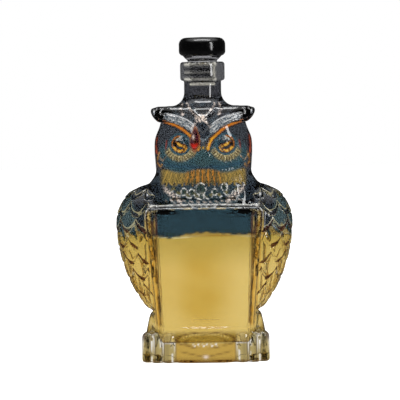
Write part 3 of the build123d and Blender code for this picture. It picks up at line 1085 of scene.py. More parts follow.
@dataclass(frozen=True)
class GlassFinish:
    """Clear pressed glass that takes the painted refractions, highlights and shade where light enters it,
    with painted shade where it is met at a slant.
    """

    roughness: float = 0.012
    index: float = 1.5
    # rim_low, rim_high and rim give the painted shade where the glass is met at a slant; ear_floor and
    # ear_top weaken it from the ears up.
    rim_low: float = 0.74
    rim_high: float = 0.99
    rim: Colour = linear(40, 32, 30)
    inside: Colour = (0.97, 0.97, 0.96)
    shadow: Colour = (0.80, 0.82, 0.82)
    ear_floor: float = 0.178
    ear_top: float = 0.184

    def build(self, shared: Shared, level: float) -> Material:
        """Makes the material.

        Args:
            shared: the shared groups.
            level: the liquor's level in metres.

        Returns:
            The material.
        """
        material, made, shader, output = start_material("bottle_glass")
        # The painted light stored on the corners, with the feathers' painted shade and highlights laid over
        # it.
        painted_light = made.add("ShaderNodeAttribute", attribute_name="painted_light")
        edge = made.add("ShaderNodeAttribute", attribute_name="feather_edge")
        tint = made.fill(made.add("ShaderNodeGroup", node_tree=shared.feather_shade_and_glint), {
            "Color": painted_light.outputs["Color"], "Edge": edge.outputs["Fac"], "Level": level})
        # Painted shade where the glass is met at a slant.
        slant = made.fill(made.add("ShaderNodeLayerWeight"), {"Blend": 0.5})
        rim = made.ramp(slant.outputs["Facing"], self.rim_low, self.rim_high)
        height = made.split(made.place())[2]
        rim = made.math("MULTIPLY", rim, made.ramp(height, self.ear_floor, self.ear_top, 0.6, 0.1))
        colour = made.mix(rim, tint.outputs["Color"], self.rim)
        squared = made.fill(made.add("ShaderNodeVectorMath", operation="MULTIPLY"), {0: colour, 1: colour})
        inner = made.add("ShaderNodeAttribute", attribute_name="inner")
        leaving = made.add("ShaderNodeNewGeometry").outputs["Backfacing"]
        clear = made.math("MAXIMUM", inner.outputs["Fac"], leaving)
        made.feed(shader.inputs["Base Color"], made.mix(clear, squared.outputs[0], self.inside))
        make_clear(made, shader, self.roughness, self.index)
        add_ripple(made, shared, shader, 0.30, 0.0006, 70.0)
        let_light_through(made, shader, output, self.shadow)
        return material


@dataclass
class Coats:
    """Places on the glass, from the front, and the painted light in the making there, one row for each place.
    """

    form: OwlForm
    x: Array
    z: Array
    colours: Array

    def places(self) -> tuple[OwlForm, Array, Array, Array]:
        """The form, the places across and up, and how far each is from the middle plane."""
        return self.form, self.x, self.z, np.abs(self.x)

    def lay(self, share: Array, tone: Colour) -> None:
        """Lays one more coat of a tone over the colours, by how much of each row it covers."""
        self.colours = self.colours + np.clip(share, 0, 1)[:, None] * (np.array(tone) - self.colours)


def streaks(along: Array, across: Array, pitch: float, phase: float = 0.0) -> Array:
    """An uneven wave from 0 to 1, for broken glints.

    Args:
        along: places along the glint.
        across: places across it.
        pitch: the wave's rough length.
        phase: where it starts.

    Returns:
        The wave.
    """
    turn = 2 * math.pi / pitch
    wave = np.sin(along * turn + phase + 1.6 * np.sin(across * turn * 0.7 + 2 * phase))
    return 0.5 + 0.35 * wave + 0.15 * np.sin(2.7 * along * turn + across * turn + phase)


@dataclass(frozen=True)
class GlassPaintedLight:
    """Painted light on the clear glass: the refractions, reflections, highlights and shade that the
    moulding's lenses show, kept where light enters the glass.
    """

    # Each tone below is painted light: the liquor's gold and the dark slate and teal seen through the glass,
    # painted highlights and glints, and painted shade. Only clear is the glass's own near-clear tone, which
    # the lip's painted highlights use too.
    clear: Colour = linear(250, 246, 232)
    foot: Colour = linear(178, 160, 104)
    slate: Colour = linear(58, 62, 68)
    neck: Colour = linear(58, 59, 64)
    lip: Colour = linear(88, 89, 92)
    teal: Colour = linear(41, 64, 74)
    disc: Colour = linear(54, 80, 88)
    deep: Colour = linear(38, 42, 50)
    black: Colour = linear(14, 12, 16)
    sun: Colour = linear(236, 198, 104)
    window: float = 34.3
    feet_top: float = 34.0
    throat_floor: float = 116.5
    face_floor: float = 143.0
    brow_floor: float = 148.0
    # Corners of painted lines: across and up on the face, and for the curl from the eye's middle.
    brow: Points = (
        (36.4, 185.6), (28.9, 183.5), (21.2, 181.2), (15.8, 178.2), (10.9, 174.2), (7.0, 170.6), (4.8, 166.7),
        (3.8, 162.8))
    band: Points = (
        (32.0, 189.4), (24.6, 186.2), (17.5, 183.8), (11.4, 180.6), (7.6, 177.4))
    curl: Points = (
        (2.8, 0.9), (0.4, -0.4), (-3.0, -1.4), (-4.4, -2.9), (-3.0, -4.9), (0.2, -5.4), (3.0, -4.3),
        (4.3, -2.9))
    # Across, up and radius of the drops on the bib.
    bib_drops: Sequence[tuple[float, float, float]] = (
        (-2.2, 132.2, 3.8), (-15.0, 130.4, 2.3), (-9.0, 129.8, 2.2), (-1.8, 126.8, 2.1), (8.4, 130.0, 2.0),
        (15.8, 133.6, 2.3))
    blue: Colour = linear(42, 70, 88)
    white: Colour = linear(252, 250, 246)
    rose: Colour = linear(244, 226, 214)
    cream: Colour = linear(214, 192, 132)
    gold: Colour = linear(196, 154, 62)
    amber: Colour = linear(205, 122, 36)
    brown: Colour = linear(88, 48, 22)
    red: Colour = linear(196, 40, 26)
    wine: Colour = linear(62, 14, 26)
    straw: Colour = linear(228, 212, 150)
    pale_straw: Colour = linear(207, 202, 158)
    base_grey: Colour = linear(205, 205, 212)
    base_corner: Colour = linear(172, 160, 118)
    surface: Colour = linear(178, 152, 78)
    wing: Colour = linear(78, 94, 96)
    lobe: Colour = linear(182, 168, 112)
    lobe_foot: Colour = linear(192, 158, 76)
    floor_line: Colour = linear(158, 128, 60)
    toe_line: Colour = linear(92, 74, 48)
    toe_shade: Colour = linear(112, 98, 66)
    ruff: Colour = linear(124, 108, 58)
    ruff_light: Colour = linear(180, 148, 76)
    ruff_amber: Colour = linear(206, 128, 36)
    ruff_dark: Colour = linear(50, 52, 36)
    ruff_teal: Colour = linear(44, 64, 58)
    ruff_foot: Colour = linear(42, 60, 48)
    bib_gold: Colour = linear(150, 134, 62)
    bib_drop: Colour = linear(46, 62, 58)
    socket: Colour = linear(42, 62, 72)
    socket_rim: Colour = linear(66, 98, 112)
    pupil: Colour = linear(30, 36, 44)
    lid: Colour = linear(50, 28, 20)
    curl_edge: Colour = linear(92, 44, 16)
    curl_gold: Colour = linear(224, 170, 66)
    eye_glint: Colour = linear(196, 204, 204)
    fringe: Colour = linear(118, 106, 64)
    fringe_light: Colour = linear(224, 208, 160)
    muzzle: Colour = linear(56, 80, 84)
    muzzle_rim: Colour = linear(168, 140, 80)
    temple: Colour = linear(48, 16, 22)
    ember: Colour = linear(186, 72, 26)
    flame: Colour = linear(206, 146, 54)
    pale_flame: Colour = linear(216, 166, 112)
    painted_red_refraction: Colour = linear(150, 52, 30)
    mask_painted_sheen: Colour = linear(78, 92, 102)
    ear: Colour = linear(196, 202, 210)
    band_grey: Colour = linear(84, 98, 110)
    loop_grey: Colour = linear(84, 88, 96)
    brow_end: Colour = linear(158, 104, 88)
    brow_gold: Colour = linear(236, 172, 48)
    shield: Colour = linear(44, 49, 57)
    shield_rim: Colour = linear(140, 160, 170)
    drop_halo: Colour = linear(142, 88, 62)
    drop_rim: Colour = linear(150, 92, 52)

    def layers(self, coats: Coats, level: float) -> None:
        """Lays the painted light that changes with height, all the way round.

        Args:
            coats: what they are laid on.
            level: the liquor's level.
        """
        _, x, z, across = coats.places()
        # The liquor's painted gold refraction, warmer near the middle and on the left, and paler near its
        # top.
        warm = np.maximum(rise(34.0, 2.0, np.abs(x + 3.0)), 0.4 * rise(20.0, -20.0, x)) * rise(5.0, 50.0, z)
        warm = warm * (0.8 + 0.3 * streaks(z, x, 46.0, 1.0))
        coats.lay(warm, self.straw)
        coats.lay(0.9 * rise(66.0, 97.0, z), self.pale_straw)
        # Painted tones of the base and feet as seen through the glass.
        coats.lay(rise(26.0, 20.0, z), self.base_grey)
        coats.lay(rise(31.0, 36.0, across) * rise(29.0, 23.0, z), self.base_corner)
        coats.lay(rise(16.2, 14.4, z), self.foot)
        # At the liquor's level: painted gold up to a ragged shore, then painted teal shade above it.
        shore = read_table((-36.0, -26.6, -15.2, -2.0, 11.4, 22.8, 37.0),
                           (97.4, 95.6, 97.8, 99.4, 98.8, 97.8, 98.0), x) + 0.35 * np.sin(x / 1.3)
        ragged = rise(40.0, 48.0, across)
        shore = shore + ragged * (2.0 + 15.0 * (streaks(1.4 * x, z, 12.0, 0.7) - 0.5))
        coats.lay(rise(-0.8, 0.8, z - level - 0.6), self.surface)
        coats.lay(rise(-0.6, 0.6, z - shore), self.teal)
        # Painted teal on the wings, the painted slate shade of the head, and painted dark shade beside the
        # top of the front panel.
        wing = rise(45.0, 50.0, across) * rise(level - 6.0, level + 12.0, z)
        coats.lay(0.65 * wing, self.wing)
        coats.lay(rise(120.0, 150.0, z), self.slate)
        coats.lay(0.8 * rise(26.0, 34.0, across) * rise(116.0, 121.0, z)
                  * rise(142.0, 132.0, z) * rise(58.0, 50.0, across), self.deep)
        # Painted grey shade on the neck and lip. On the lip: painted highlights and dark bands where the plug
        # and seal show through, a painted highlight along its lower edge, and an upright one.
        coats.lay(rise(196.0, 206.0, z), self.neck)
        coats.lay(rise(213.6, 214.6, z), self.lip)
        middle = rise(13.0, 11.5, np.abs(x + 1.5))
        for height, half, tone in ((227.2, 1.2, self.clear), (223.2, 1.4, self.black),
                                   (219.2, 1.1, self.black), (215.6, 1.0, self.clear),
                                   (221.1, 0.5, self.clear)):
            coats.lay(0.62 * middle * line(z, height, half), tone)
        rim = line(z, 212.3 - 0.004 * x * x, 0.8) * rise(10.5, 8.5, across)
        coats.lay(0.85 * rim, self.clear)
        coats.lay(0.6 * line(x, 8.8, 0.9) * rise(216.0, 218.0, z), self.clear)

    def panel(self, coats: Coats) -> None:
        """Lays the painted refractions, highlights and shade that frame the flat front.

        Args:
            coats: what they are laid on.
        """
        form, x, z, across = coats.places()
        inwards = form.belly_half_width(z) - across
        side = rise(26.0, 31.0, z) * rise(form.panel_top - 1.5, form.panel_top - 5.0, z)
        inner = form.from_window(self.window, across, z)
        between = rise(-0.3, 0.8, inner) * rise(1.5, 3.0, inwards)
        top = np.maximum(-rounded_cut(-inwards, z - form.panel_top - 1.9 + 0.0009 * x * x, 7.0), -5)
        at_top = rise(108.0, 113.5, z)
        dim = streaks(z, x, 19.0, 0.4)
        # Along the panel's sides: painted brown and dark shade, and painted amber refraction lines.
        coats.lay(side * 0.55 * between * rise(0.35, 0.6, dim), self.brown)
        coats.lay(side * 0.5 * between * rise(60.0, 100.0, z) * rise(0.6, 0.3, dim), self.deep)
        coats.lay(side * (0.5 + 0.4 * streaks(z, x, 9.0)) * line(inwards, 2.6, 1.25), self.sun)
        coats.lay(side * 0.8 * line(inwards, 0.9, 0.5), self.brown)
        coats.lay(side * 0.8 * line(inwards, 4.4, 0.5) * rise(0.2, 0.5, dim), self.brown)
        coats.lay(side * 0.5 * line(inwards, -0.2, 0.5), self.sun)
        coats.lay(side * 0.75 * line(inner, 0.0, 0.55), self.brown)
        coats.lay(side * 0.6 * line(inner, 1.5, 0.6) * streaks(z, x, 13.0, 2.0), self.sun)
        # Painted dark shade beside the panel's top corners.
        outer = rise(-0.8, -2.2, inwards) * rise(-9.0, -6.0, inwards)
        outer = outer * rise(99.0, 106.0, z) * rise(131, 126, z)
        coats.lay(0.85 * outer, self.deep)
        # Along the panel's top: painted highlights and a painted dark line.
        coats.lay(at_top * 0.9 * line(top, 0.1, 0.42), self.white)
        coats.lay(at_top * 0.7 * line(top, 1.2, 0.6), self.deep)
        coats.lay(at_top * 0.6 * streaks(x, z, 21.0) * line(top, 2.3, 0.32), self.white)
        coats.lay(at_top * 0.8 * rise(0.3, 0.6, streaks(x, z, 13.0)) * line(top, 3.2, 0.4), self.cream)

    def feet(self, coats: Coats) -> None:
        """Lays the painted refractions, highlights and shade of the toes and of the lobe between the feet.

        Args:
            coats: what they are laid on.
        """
        form, x, z, across = coats.places()
        low = rise(26.0, 20.0, z)
        bare = rise(16.2, 14.4, z)
        middle = rise(24.5, 22.0, across)
        # Painted tones of the lobe, and painted dark lines along the floor.
        coats.lay(low * middle, self.lobe)
        coats.lay(bare * middle, self.lobe_foot)
        coats.lay(0.8 * middle * rise(6.0, 2.0, z), self.floor_line)
        coats.lay(0.8 * line(z, 1.0, 1.0), self.brown)
        # On each toe: a painted highlight round its top, a painted dark outline, an upright painted
        # highlight, and painted shade beside it.
        for share, _ in form.toe_shares:
            from_toe = across - form.base.half_width * share
            top = np.hypot(from_toe, np.maximum(z - form.toe_height + form.toe_radius, 0))
            coats.lay(0.7 * low * line(top, form.toe_radius - 0.7, 0.5) * rise(4.0, 16.0, z), self.white)
            coats.lay(0.75 * low * line(top, form.toe_radius + 0.1, 0.45), self.toe_line)
            lit = rise(0.25, 0.6, streaks(z, x, 14.0, 9 * share))
            coats.lay(0.75 * low * line(from_toe, -2.5, 0.7) * lit, self.white)
            coats.lay(0.35 * low * line(from_toe, 1.4, 1.5), self.toe_shade)
        # The lobe's lens: painted dark lines, beaded painted highlights and painted glints.
        lens = np.hypot(x / 22.0, (z - 17.6) / 6.0)
        inside = np.hypot(x / 15.5, (z - 15.6) / 4.4)
        beads = rise(0.2, 0.7, 0.5 + 0.5 * np.cos(x * 2.6))
        coats.lay(0.7 * line(lens, 1.0, 0.07) * rise(12.0, 15.0, z), self.brown)
        coats.lay(0.9 * line(lens, 0.80, 0.07) * rise(18.0, 20.0, z) * beads, self.white)
        coats.lay(0.75 * line(inside, 1.0, 0.11) * streaks(x, z, 17.0, 1.0), self.brown)
        glints = line(z, 13.8 + 0.4 * np.sin(x), 0.8) * rise(12.0, 8.0, across)
        glints = glints * rise(0.35, 0.7, streaks(x, z, 3.4))
        coats.lay(0.8 * glints, self.white)
        # A painted dark line low on the lobe, a painted spark, and a painted dark spot at the side.
        coats.lay(0.5 * line(z, 4.6 + 0.22 * across, 0.6) * rise(21.0, 17.0, across), self.brown)
        coats.lay(0.9 * line(np.hypot(x / 1.6, z - 4.8), 0, 1.2), self.rose)
        coats.lay(0.7 * rise(44.0, 47.0, across) * rise(33.0, 28.0, z) * rise(14.0, 20.0, z), self.wine)

    def throat(self, coats: Coats) -> None:
        """Lays the ruff's painted gold refraction and shade, and the bib's painted glints and shade.

        Args:
            coats: what they are laid on.
        """
        form, x, z, across = coats.places()
        stroke, window = form.ruff_strokes(x, z)
        fine = np.abs(np.sin(math.pi * (1.9 * stroke + 0.16 * np.sin(z / 2.1 + 3.0 * stroke))))
        odd = 0.5 + 0.5 * np.sin(4.1 * np.floor(1.9 * stroke))
        centre = rise(18.0, 8.0, across)
        # The ruff: the liquor's painted gold and amber refraction between painted dark and teal shade in its
        # strokes.
        coats.lay(0.9 * window, self.ruff)
        coats.lay(window * (0.35 + 0.55 * odd) * fine, self.ruff_light)
        coats.lay(window * centre * (0.3 + 0.6 * odd) * rise(0.2, 0.8, fine), self.ruff_amber)
        coats.lay(window * 0.8 * (0.65 + 0.35 * centre) * rise(0.6, 0.2, fine), self.ruff_dark)
        coats.lay(window * 0.75 * centre * (1 - odd) * rise(0.2, 0.7, fine), self.ruff_teal)
        coats.lay(0.7 * window * centre * rise(140.0, 136.5, z), self.ruff_foot)
        # The bib: painted highlights along the feathers' edges, painted shade under them, and dark painted
        # spots with painted highlights round them.
        bib = rise(30.0, 24.0, across)
        for row in (0, 1):
            above = form.bib_edge(x, z, row)
            broken = rise(0.25, 0.7, streaks(x, z, 6.1, 1.3 * row))
            coats.lay(bib * (0.5 + 0.3 * row) * broken * line(above, 0.08, 0.08), self.white)
            coats.lay(bib * 0.6 * line(above, -0.16, 0.12) * rise(-0.9, 0.1, above + 1), self.deep)
            coats.lay(bib * 0.5 * broken * row * line(above, 0.42, 0.2), self.bib_gold)
        for middle, height, radius in self.bib_drops:
            away = np.hypot(x - middle, (z - height) / 1.2)
            coats.lay(0.8 * rise(radius, radius - 0.6, away), self.bib_drop)
            coats.lay(0.9 * line(away, radius, 0.26) * rise(0.1, 0.5, streaks(x, z, 3.1, radius)), self.white)
        # Painted highlights on the side fringes and along the bib's lower rim.
        fringe = line(z - 128.0 - 0.76 * (across - 24.0), 0, 2.0) * rise(15.0, 18.0, across)
        fringe = fringe * rise(32.0, 29.5, across) * rise(0.35, 0.6, streaks(x - 0.8 * z, x + z, 2.4, 0.6))
        coats.lay(0.95 * fringe, self.rose)
        rim = 122.6 + 1.6 * line(across, 22.0, 9.0)
        coats.lay(0.6 * line(z, rim, 0.6) * rise(32.0, 26.0, across)
                  * rise(0.45, 0.7, streaks(x, z, 4.7, 2.0)), self.rose)

    def eyes(self, coats: Coats) -> None:
        """Lays the painted refractions, highlights and shade of the face's discs, eyes, fringes and muzzle.

        Args:
            coats: what they are laid on.
        """
        form, x, z, across = coats.places()
        # Painted teal on the face's discs and the eyes' sockets, a lighter painted ring, and painted shade in
        # the pupils.
        place = np.hypot((across - 17.0) / 17.5, (z - 158.5) / 14.0)
        coats.lay(rise(1.1, 0.85, place) * rise(176.0, 160.0, z), self.disc)
        out, up = across - form.eye_offset, z - form.eye_height
        from_eye, turn = np.hypot(out, up), np.arctan2(up, out)
        coats.lay(0.85 * rise(9.0, 8.2, from_eye), self.socket)
        coats.lay(0.7 * line(from_eye, 7.5, 0.8), self.socket_rim)
        soft = rise(0.45, 0.7, streaks(out + up, out - up, 3.7, 1.1))
        coats.lay(0.6 * rise(6.2, 5.0, from_eye) * soft, self.pupil)
        # In each eye: a painted dark lid, painted amber and gold refraction, the painted gold curl with its
        # brown edge, a painted black shade, and a painted highlight.
        sweep = rise(0.42, 0.62, np.cos(turn - 0.62))
        coats.lay(0.95 * sweep * rise(1.3, 0.8, np.abs(from_eye - 5.6)), self.lid)
        coats.lay(0.85 * sweep * line(from_eye, 6.1, 0.35), self.amber)
        coats.lay(0.8 * sweep * line(from_eye, 4.6, 0.3) * rise(0.3, 0.6, soft), self.gold)
        away = from_line(self.curl, out, up)
        coats.lay(0.95 * rise(1.7, 1.25, away), self.curl_edge)
        coats.lay(0.95 * rise(1.15, 0.7, away) * rise(0.2, 0.45, streaks(out, up, 5.0, 2.0)), self.curl_gold)
        coats.lay(0.9 * rise(1.15, 0.7, np.hypot((out - 3.9) / 1.7, (up + 0.2) / 1.5)), self.black)
        glint = rise(1.1, 0.5, from_line(((2.0, 3.4), (-1.4, 5.6)), out, up))
        coats.lay(0.8 * glint * (1 - 0.6 * soft), self.eye_glint)
        # The fringes under the eyes: painted refraction with painted highlights and shade in their strokes.
        fringe = rise(8.7, 9.5, from_eye) * rise(14.4, 11.6, from_eye) * rise(-0.28, -0.55, np.sin(turn))
        strokes = 0.5 + 0.5 * np.cos(34 * turn + 1.3 * np.sin(from_eye))
        coats.lay(0.8 * fringe, self.fringe)
        coats.lay(0.85 * fringe * rise(0.5, 0.9, strokes) * streaks(x, z, 5.0), self.fringe_light)
        coats.lay(0.6 * fringe * rise(0.3, 0.1, strokes), self.brown)
        coats.lay(0.7 * line(from_eye, 9.1, 0.35) * rise(-0.2, -0.5, np.sin(turn)), self.cream)
        # A painted blue line under the cheeks, the muzzle's painted teal, and its painted highlight.
        lower = z - 148.0 - 0.3 * np.sin(x / 3.1) - 0.20 * np.maximum(across - 17.0, 0)
        coats.lay(0.8 * line(lower, 1.2, 1.3) * rise(34.0, 28.0, across), self.blue)
        from_muzzle = np.hypot(x, z - form.muzzle_height)
        coats.lay(0.85 * rise(7.6, 6.4, from_muzzle), self.muzzle)
        rim = line(from_muzzle, 7.3, 0.45) * rise(2.0, -3.0, x)
        rim = rim * rise(form.muzzle_height, form.muzzle_height + 3, z)
        coats.lay(0.8 * rim, self.muzzle_rim)
        # Painted dark shade at the head's sides, with painted red and amber refractions beside it.
        side = rise(33.0, 35.4, across) * rise(183.0, 178.0, z) * rise(145.0, 150.0, z)
        coats.lay(0.85 * side, self.temple)
        ember = from_line(((36.0, 172.0), (37.0, 166.0), (36.2, 160.0)), across, z)
        coats.lay(0.85 * rise(1.5, 0.5, ember), self.ember)
        flame = from_line(((33.6, 160.0), (35.8, 153.0), (32.6, 148.6), (31.6, 151.0)), across, z)
        coats.lay(0.7 * rise(0.9, 0.3, flame) * streaks(z, x, 5.0), self.flame)
        flame = from_line(((28.6, 157.2), (31.4, 153.6), (35.0, 158.6)), across, z)
        coats.lay(0.6 * rise(0.8, 0.2, flame) * streaks(x, z, 4.0), self.pale_flame)
        mark = from_line(((27.6, 169.0), (28.6, 163.4)), across, z)
        coats.lay(0.6 * rise(0.8, 0.3, mark), self.painted_red_refraction)

    def brows(self, coats: Coats) -> None:
        """Lays the painted refractions, highlights and shade along the brows and the beak, and the forehead's
        painted glints.

        Args:
            coats: what they are laid on.
        """
        form, x, z, across = coats.places()
        inwards = -form.brow_line(across, z)
        # A painted sheen mottling the mask, and lighter glass on the ears with less of the painted slate
        # shade.
        painted_sheen = rise(0.55, 0.8, streaks(x, z, 8.0, 0.5)) * rise(1.5, 3.0, inwards)
        coats.lay(0.45 * painted_sheen, self.mask_painted_sheen)
        coats.lay(rise(29.0, 34.0, across) * rise(180.5, 184.5, z), self.ear)
        # A painted grey band and painted highlights along the brows' tops, and the ear loops' painted
        # highlights.
        along = from_line(self.band, across, z)
        coats.lay(0.75 * rise(2.9, 2.2, along), self.band_grey)
        for away, strength in ((2.3, 0.85), (1.2, 0.45), (0.2, 0.6)):
            broken = rise(0.15, 0.5, streaks(x, z, 9.0, 3 * away))
            coats.lay(strength * broken * line(along, away, 0.28), self.white)
        loop = from_line(((31.8, 190.0), (35.6, 193.0)), across, z)
        coats.lay(0.8 * rise(2.4, 1.9, loop), self.loop_grey)
        coats.lay(0.9 * line(loop, 2.0, 0.3), self.white)
        coats.lay(0.9 * rise(0.7, 0.3, loop), self.white)
        # Under the brows: a painted dark line and the liquor's painted amber and gold refraction.
        away = from_line(self.brow, across, z)
        coats.lay(0.7 * line(away, 1.7, 0.5), self.deep)
        coats.lay(0.95 * rise(1.25, 0.75, away), self.amber)
        coats.lay(0.8 * rise(1.15, 0.6, away) * rise(24.0, 34.0, across), self.brow_end)
        coats.lay(0.9 * rise(0.9, 0.4, away) * rise(13.0, 7.0, across), self.brow_gold)
        coats.lay(0.7 * line(away, 1.0, 0.3) * rise(0.3, 0.6, streaks(x, z, 8.0)), self.brown)
        # The forehead's painted highlights, and its shield of painted dark shade with a lighter painted edge.
        aside = np.abs(x + 1.4)
        rays = np.minimum(from_line(((4.0, 188.6), (8.4, 193.4), (11.3, 198.6)), aside, z),
                          from_line(((3.6, 183.6), (6.7, 179.6)), aside, z))
        coats.lay(0.9 * rise(0.95, 0.4, rays) * rise(0.1, 0.4, streaks(x, z, 5.0)), self.rose)
        prongs = from_line(((14.0, 199.5), (15.4, 194.4), (13.8, 189.2)), aside, z)
        coats.lay(0.85 * rise(1.3, 0.7, prongs) * rise(0.2, 0.5, streaks(x, z, 4.0, 1.7)), self.rose)
        star = rise(1.15, 0.6, np.hypot(aside / 4.8, (z - 186.4) / 3.3))
        star = star * rise(0.25, 0.5, streaks(x, z, 2.6, 0.9))
        coats.lay(star, self.rose)
        off = np.abs(x - 0.3)
        shield = np.minimum(np.minimum((z - 169.6) - 0.80 * off, 182.2 - z), 5.4 - off)
        coats.lay(0.85 * rise(-0.3, 0.6, shield), self.shield)
        coats.lay(0.65 * line(shield, -0.3, 0.4) * rise(179.0, 176.0, z), self.shield_rim)
        # The liquor's painted red refraction beside the beak with a painted highlight, and painted gold
        # dashes under the beak.
        narrow = 0.55 + 0.45 * rise(179.0, 169.0, z)
        drop = np.hypot((x + 6.3 - 0.06 * (z - 170.0)) / 3.6 / narrow, (z - 170.4) / 8.2)
        coats.lay(0.9 * rise(1.35, 1.15, drop) * rise(-9.0, -6.0, x) * rise(0.5, 1.0, drop), self.drop_halo)
        coats.lay(0.95 * rise(1.08, 0.9, drop), self.wine)
        coats.lay(0.95 * rise(0.98, 0.75, drop) * rise(168.2, 165.4, z), self.red)
        coats.lay(0.6 * line(drop, 1.08, 0.1), self.drop_rim)
        coats.lay(0.8 * line(np.hypot(x + 7.3, (z - 172.0) / 2.0), 0, 0.8), self.rose)
        dashes = from_line(((-2.3, 164.2), (3.6, 163.6)), x, z)
        coats.lay(0.85 * rise(1.0, 0.5, dashes) * rise(0.3, 0.5, streaks(x, z, 3.0)), self.gold)

    def colours(self, form: OwlForm, level: float, x: Array, y: Array, z: Array) -> Array:
        """The painted light at each place on the outside.

        Args:
            form: the owl's form.
            level: the liquor's level.
            x: places across.
            y: places along.
            z: heights.

        Returns:
            The colours, one row each.
        """
        coats = Coats(form, x, z, np.tile(np.array(self.clear), (len(z), 1)))
        self.layers(coats, level)
        plain = coats.colours
        self.panel(coats)
        dressed = coats.colours
        for add, here in ((self.feet, z < self.feet_top), (self.throat, z > self.throat_floor),
                          (self.eyes, z > self.face_floor),
                          (self.brows, (z > self.brow_floor) & (z < form.crown_height + 3))):
            part = Coats(form, x[here], z[here], dressed[here])
            add(part)
            dressed[here] = part.colours
        # The detailed painted light shows only on the front; elsewhere only the painted light by height
        # stays.
        front = rise(-6.0, -14.0, y)
        return plain + front[:, None] * (dressed - plain)


@dataclass(frozen=True)
class LiquorFinish:
    """Golden liquor."""

    tint: Colour = linear(231, 204, 124)
    shadow: Colour = (0.95, 0.80, 0.45)
    index: float = 1.36

    def build(self) -> Material:
        """Makes the material.

        Returns:
            The material.
        """
        material, made, shader, output = start_material("liquor")
        made.fill(shader, {"Base Color": (*self.tint, 1.0)})
        make_clear(made, shader, 0.0, self.index)
        let_light_through(made, shader, output, self.shadow)
        return material


@dataclass(frozen=True)
class ClearFinish:
    """Clear moulded plastic of the stopper's plug or its sleeve, with painted shade above the lip."""

    name: str
    roughness: float
    index: float
    tint: Colour = linear(226, 226, 228)
    high_painted_shade: Colour = linear(126, 126, 128)
    edge: float = 0.2292
    edge_blur: float = 0.0003
    shadow: Colour = (0.85, 0.85, 0.85)

    def build(self, shared: Shared) -> Material:
        """Makes the material.

        Args:
            shared: the shared groups.

        Returns:
            The material.
        """
        material, made, shader, output = start_material(self.name)
        height = made.split(made.place())[2]
        # Painted shade above the lip's top.
        over = made.ramp(height, self.edge - self.edge_blur, self.edge + self.edge_blur)
        made.feed(shader.inputs["Base Color"], made.mix(over, self.tint, self.high_painted_shade))
        make_clear(made, shader, self.roughness, self.index)
        add_ripple(made, shared, shader, 0.15, 0.0003, 160.0)
        let_light_through(made, shader, output, self.shadow)
        return material


@dataclass(frozen=True)
class KnobFinish:
    """Gloss black moulding with a faint orange peel and an uneven polish."""

    colour: Colour = (0.0008, 0.0008, 0.0008)
    index: float = 1.45
    roughness: float = 0.10
    most_roughness: float = 0.22
    coat: float = 0.25
    coat_roughness: float = 0.06

    def build(self, shared: Shared) -> Material:
        """Makes the material.

        Args:
            shared: the shared groups.

        Returns:
            The material.
        """
        material, made, shader, _ = start_material("knob_black")
        made.fill(shader, {
            "Base Color": (*self.colour, 1.0), "IOR": self.index, "Coat Weight": self.coat,
            "Coat Roughness": self.coat_roughness,
            "Roughness": made.ramp(made.noise(180.0), 0.35, 0.75, self.roughness, self.most_roughness)})
        add_ripple(made, shared, shader, 0.10, 0.0002, 240.0)
        return material


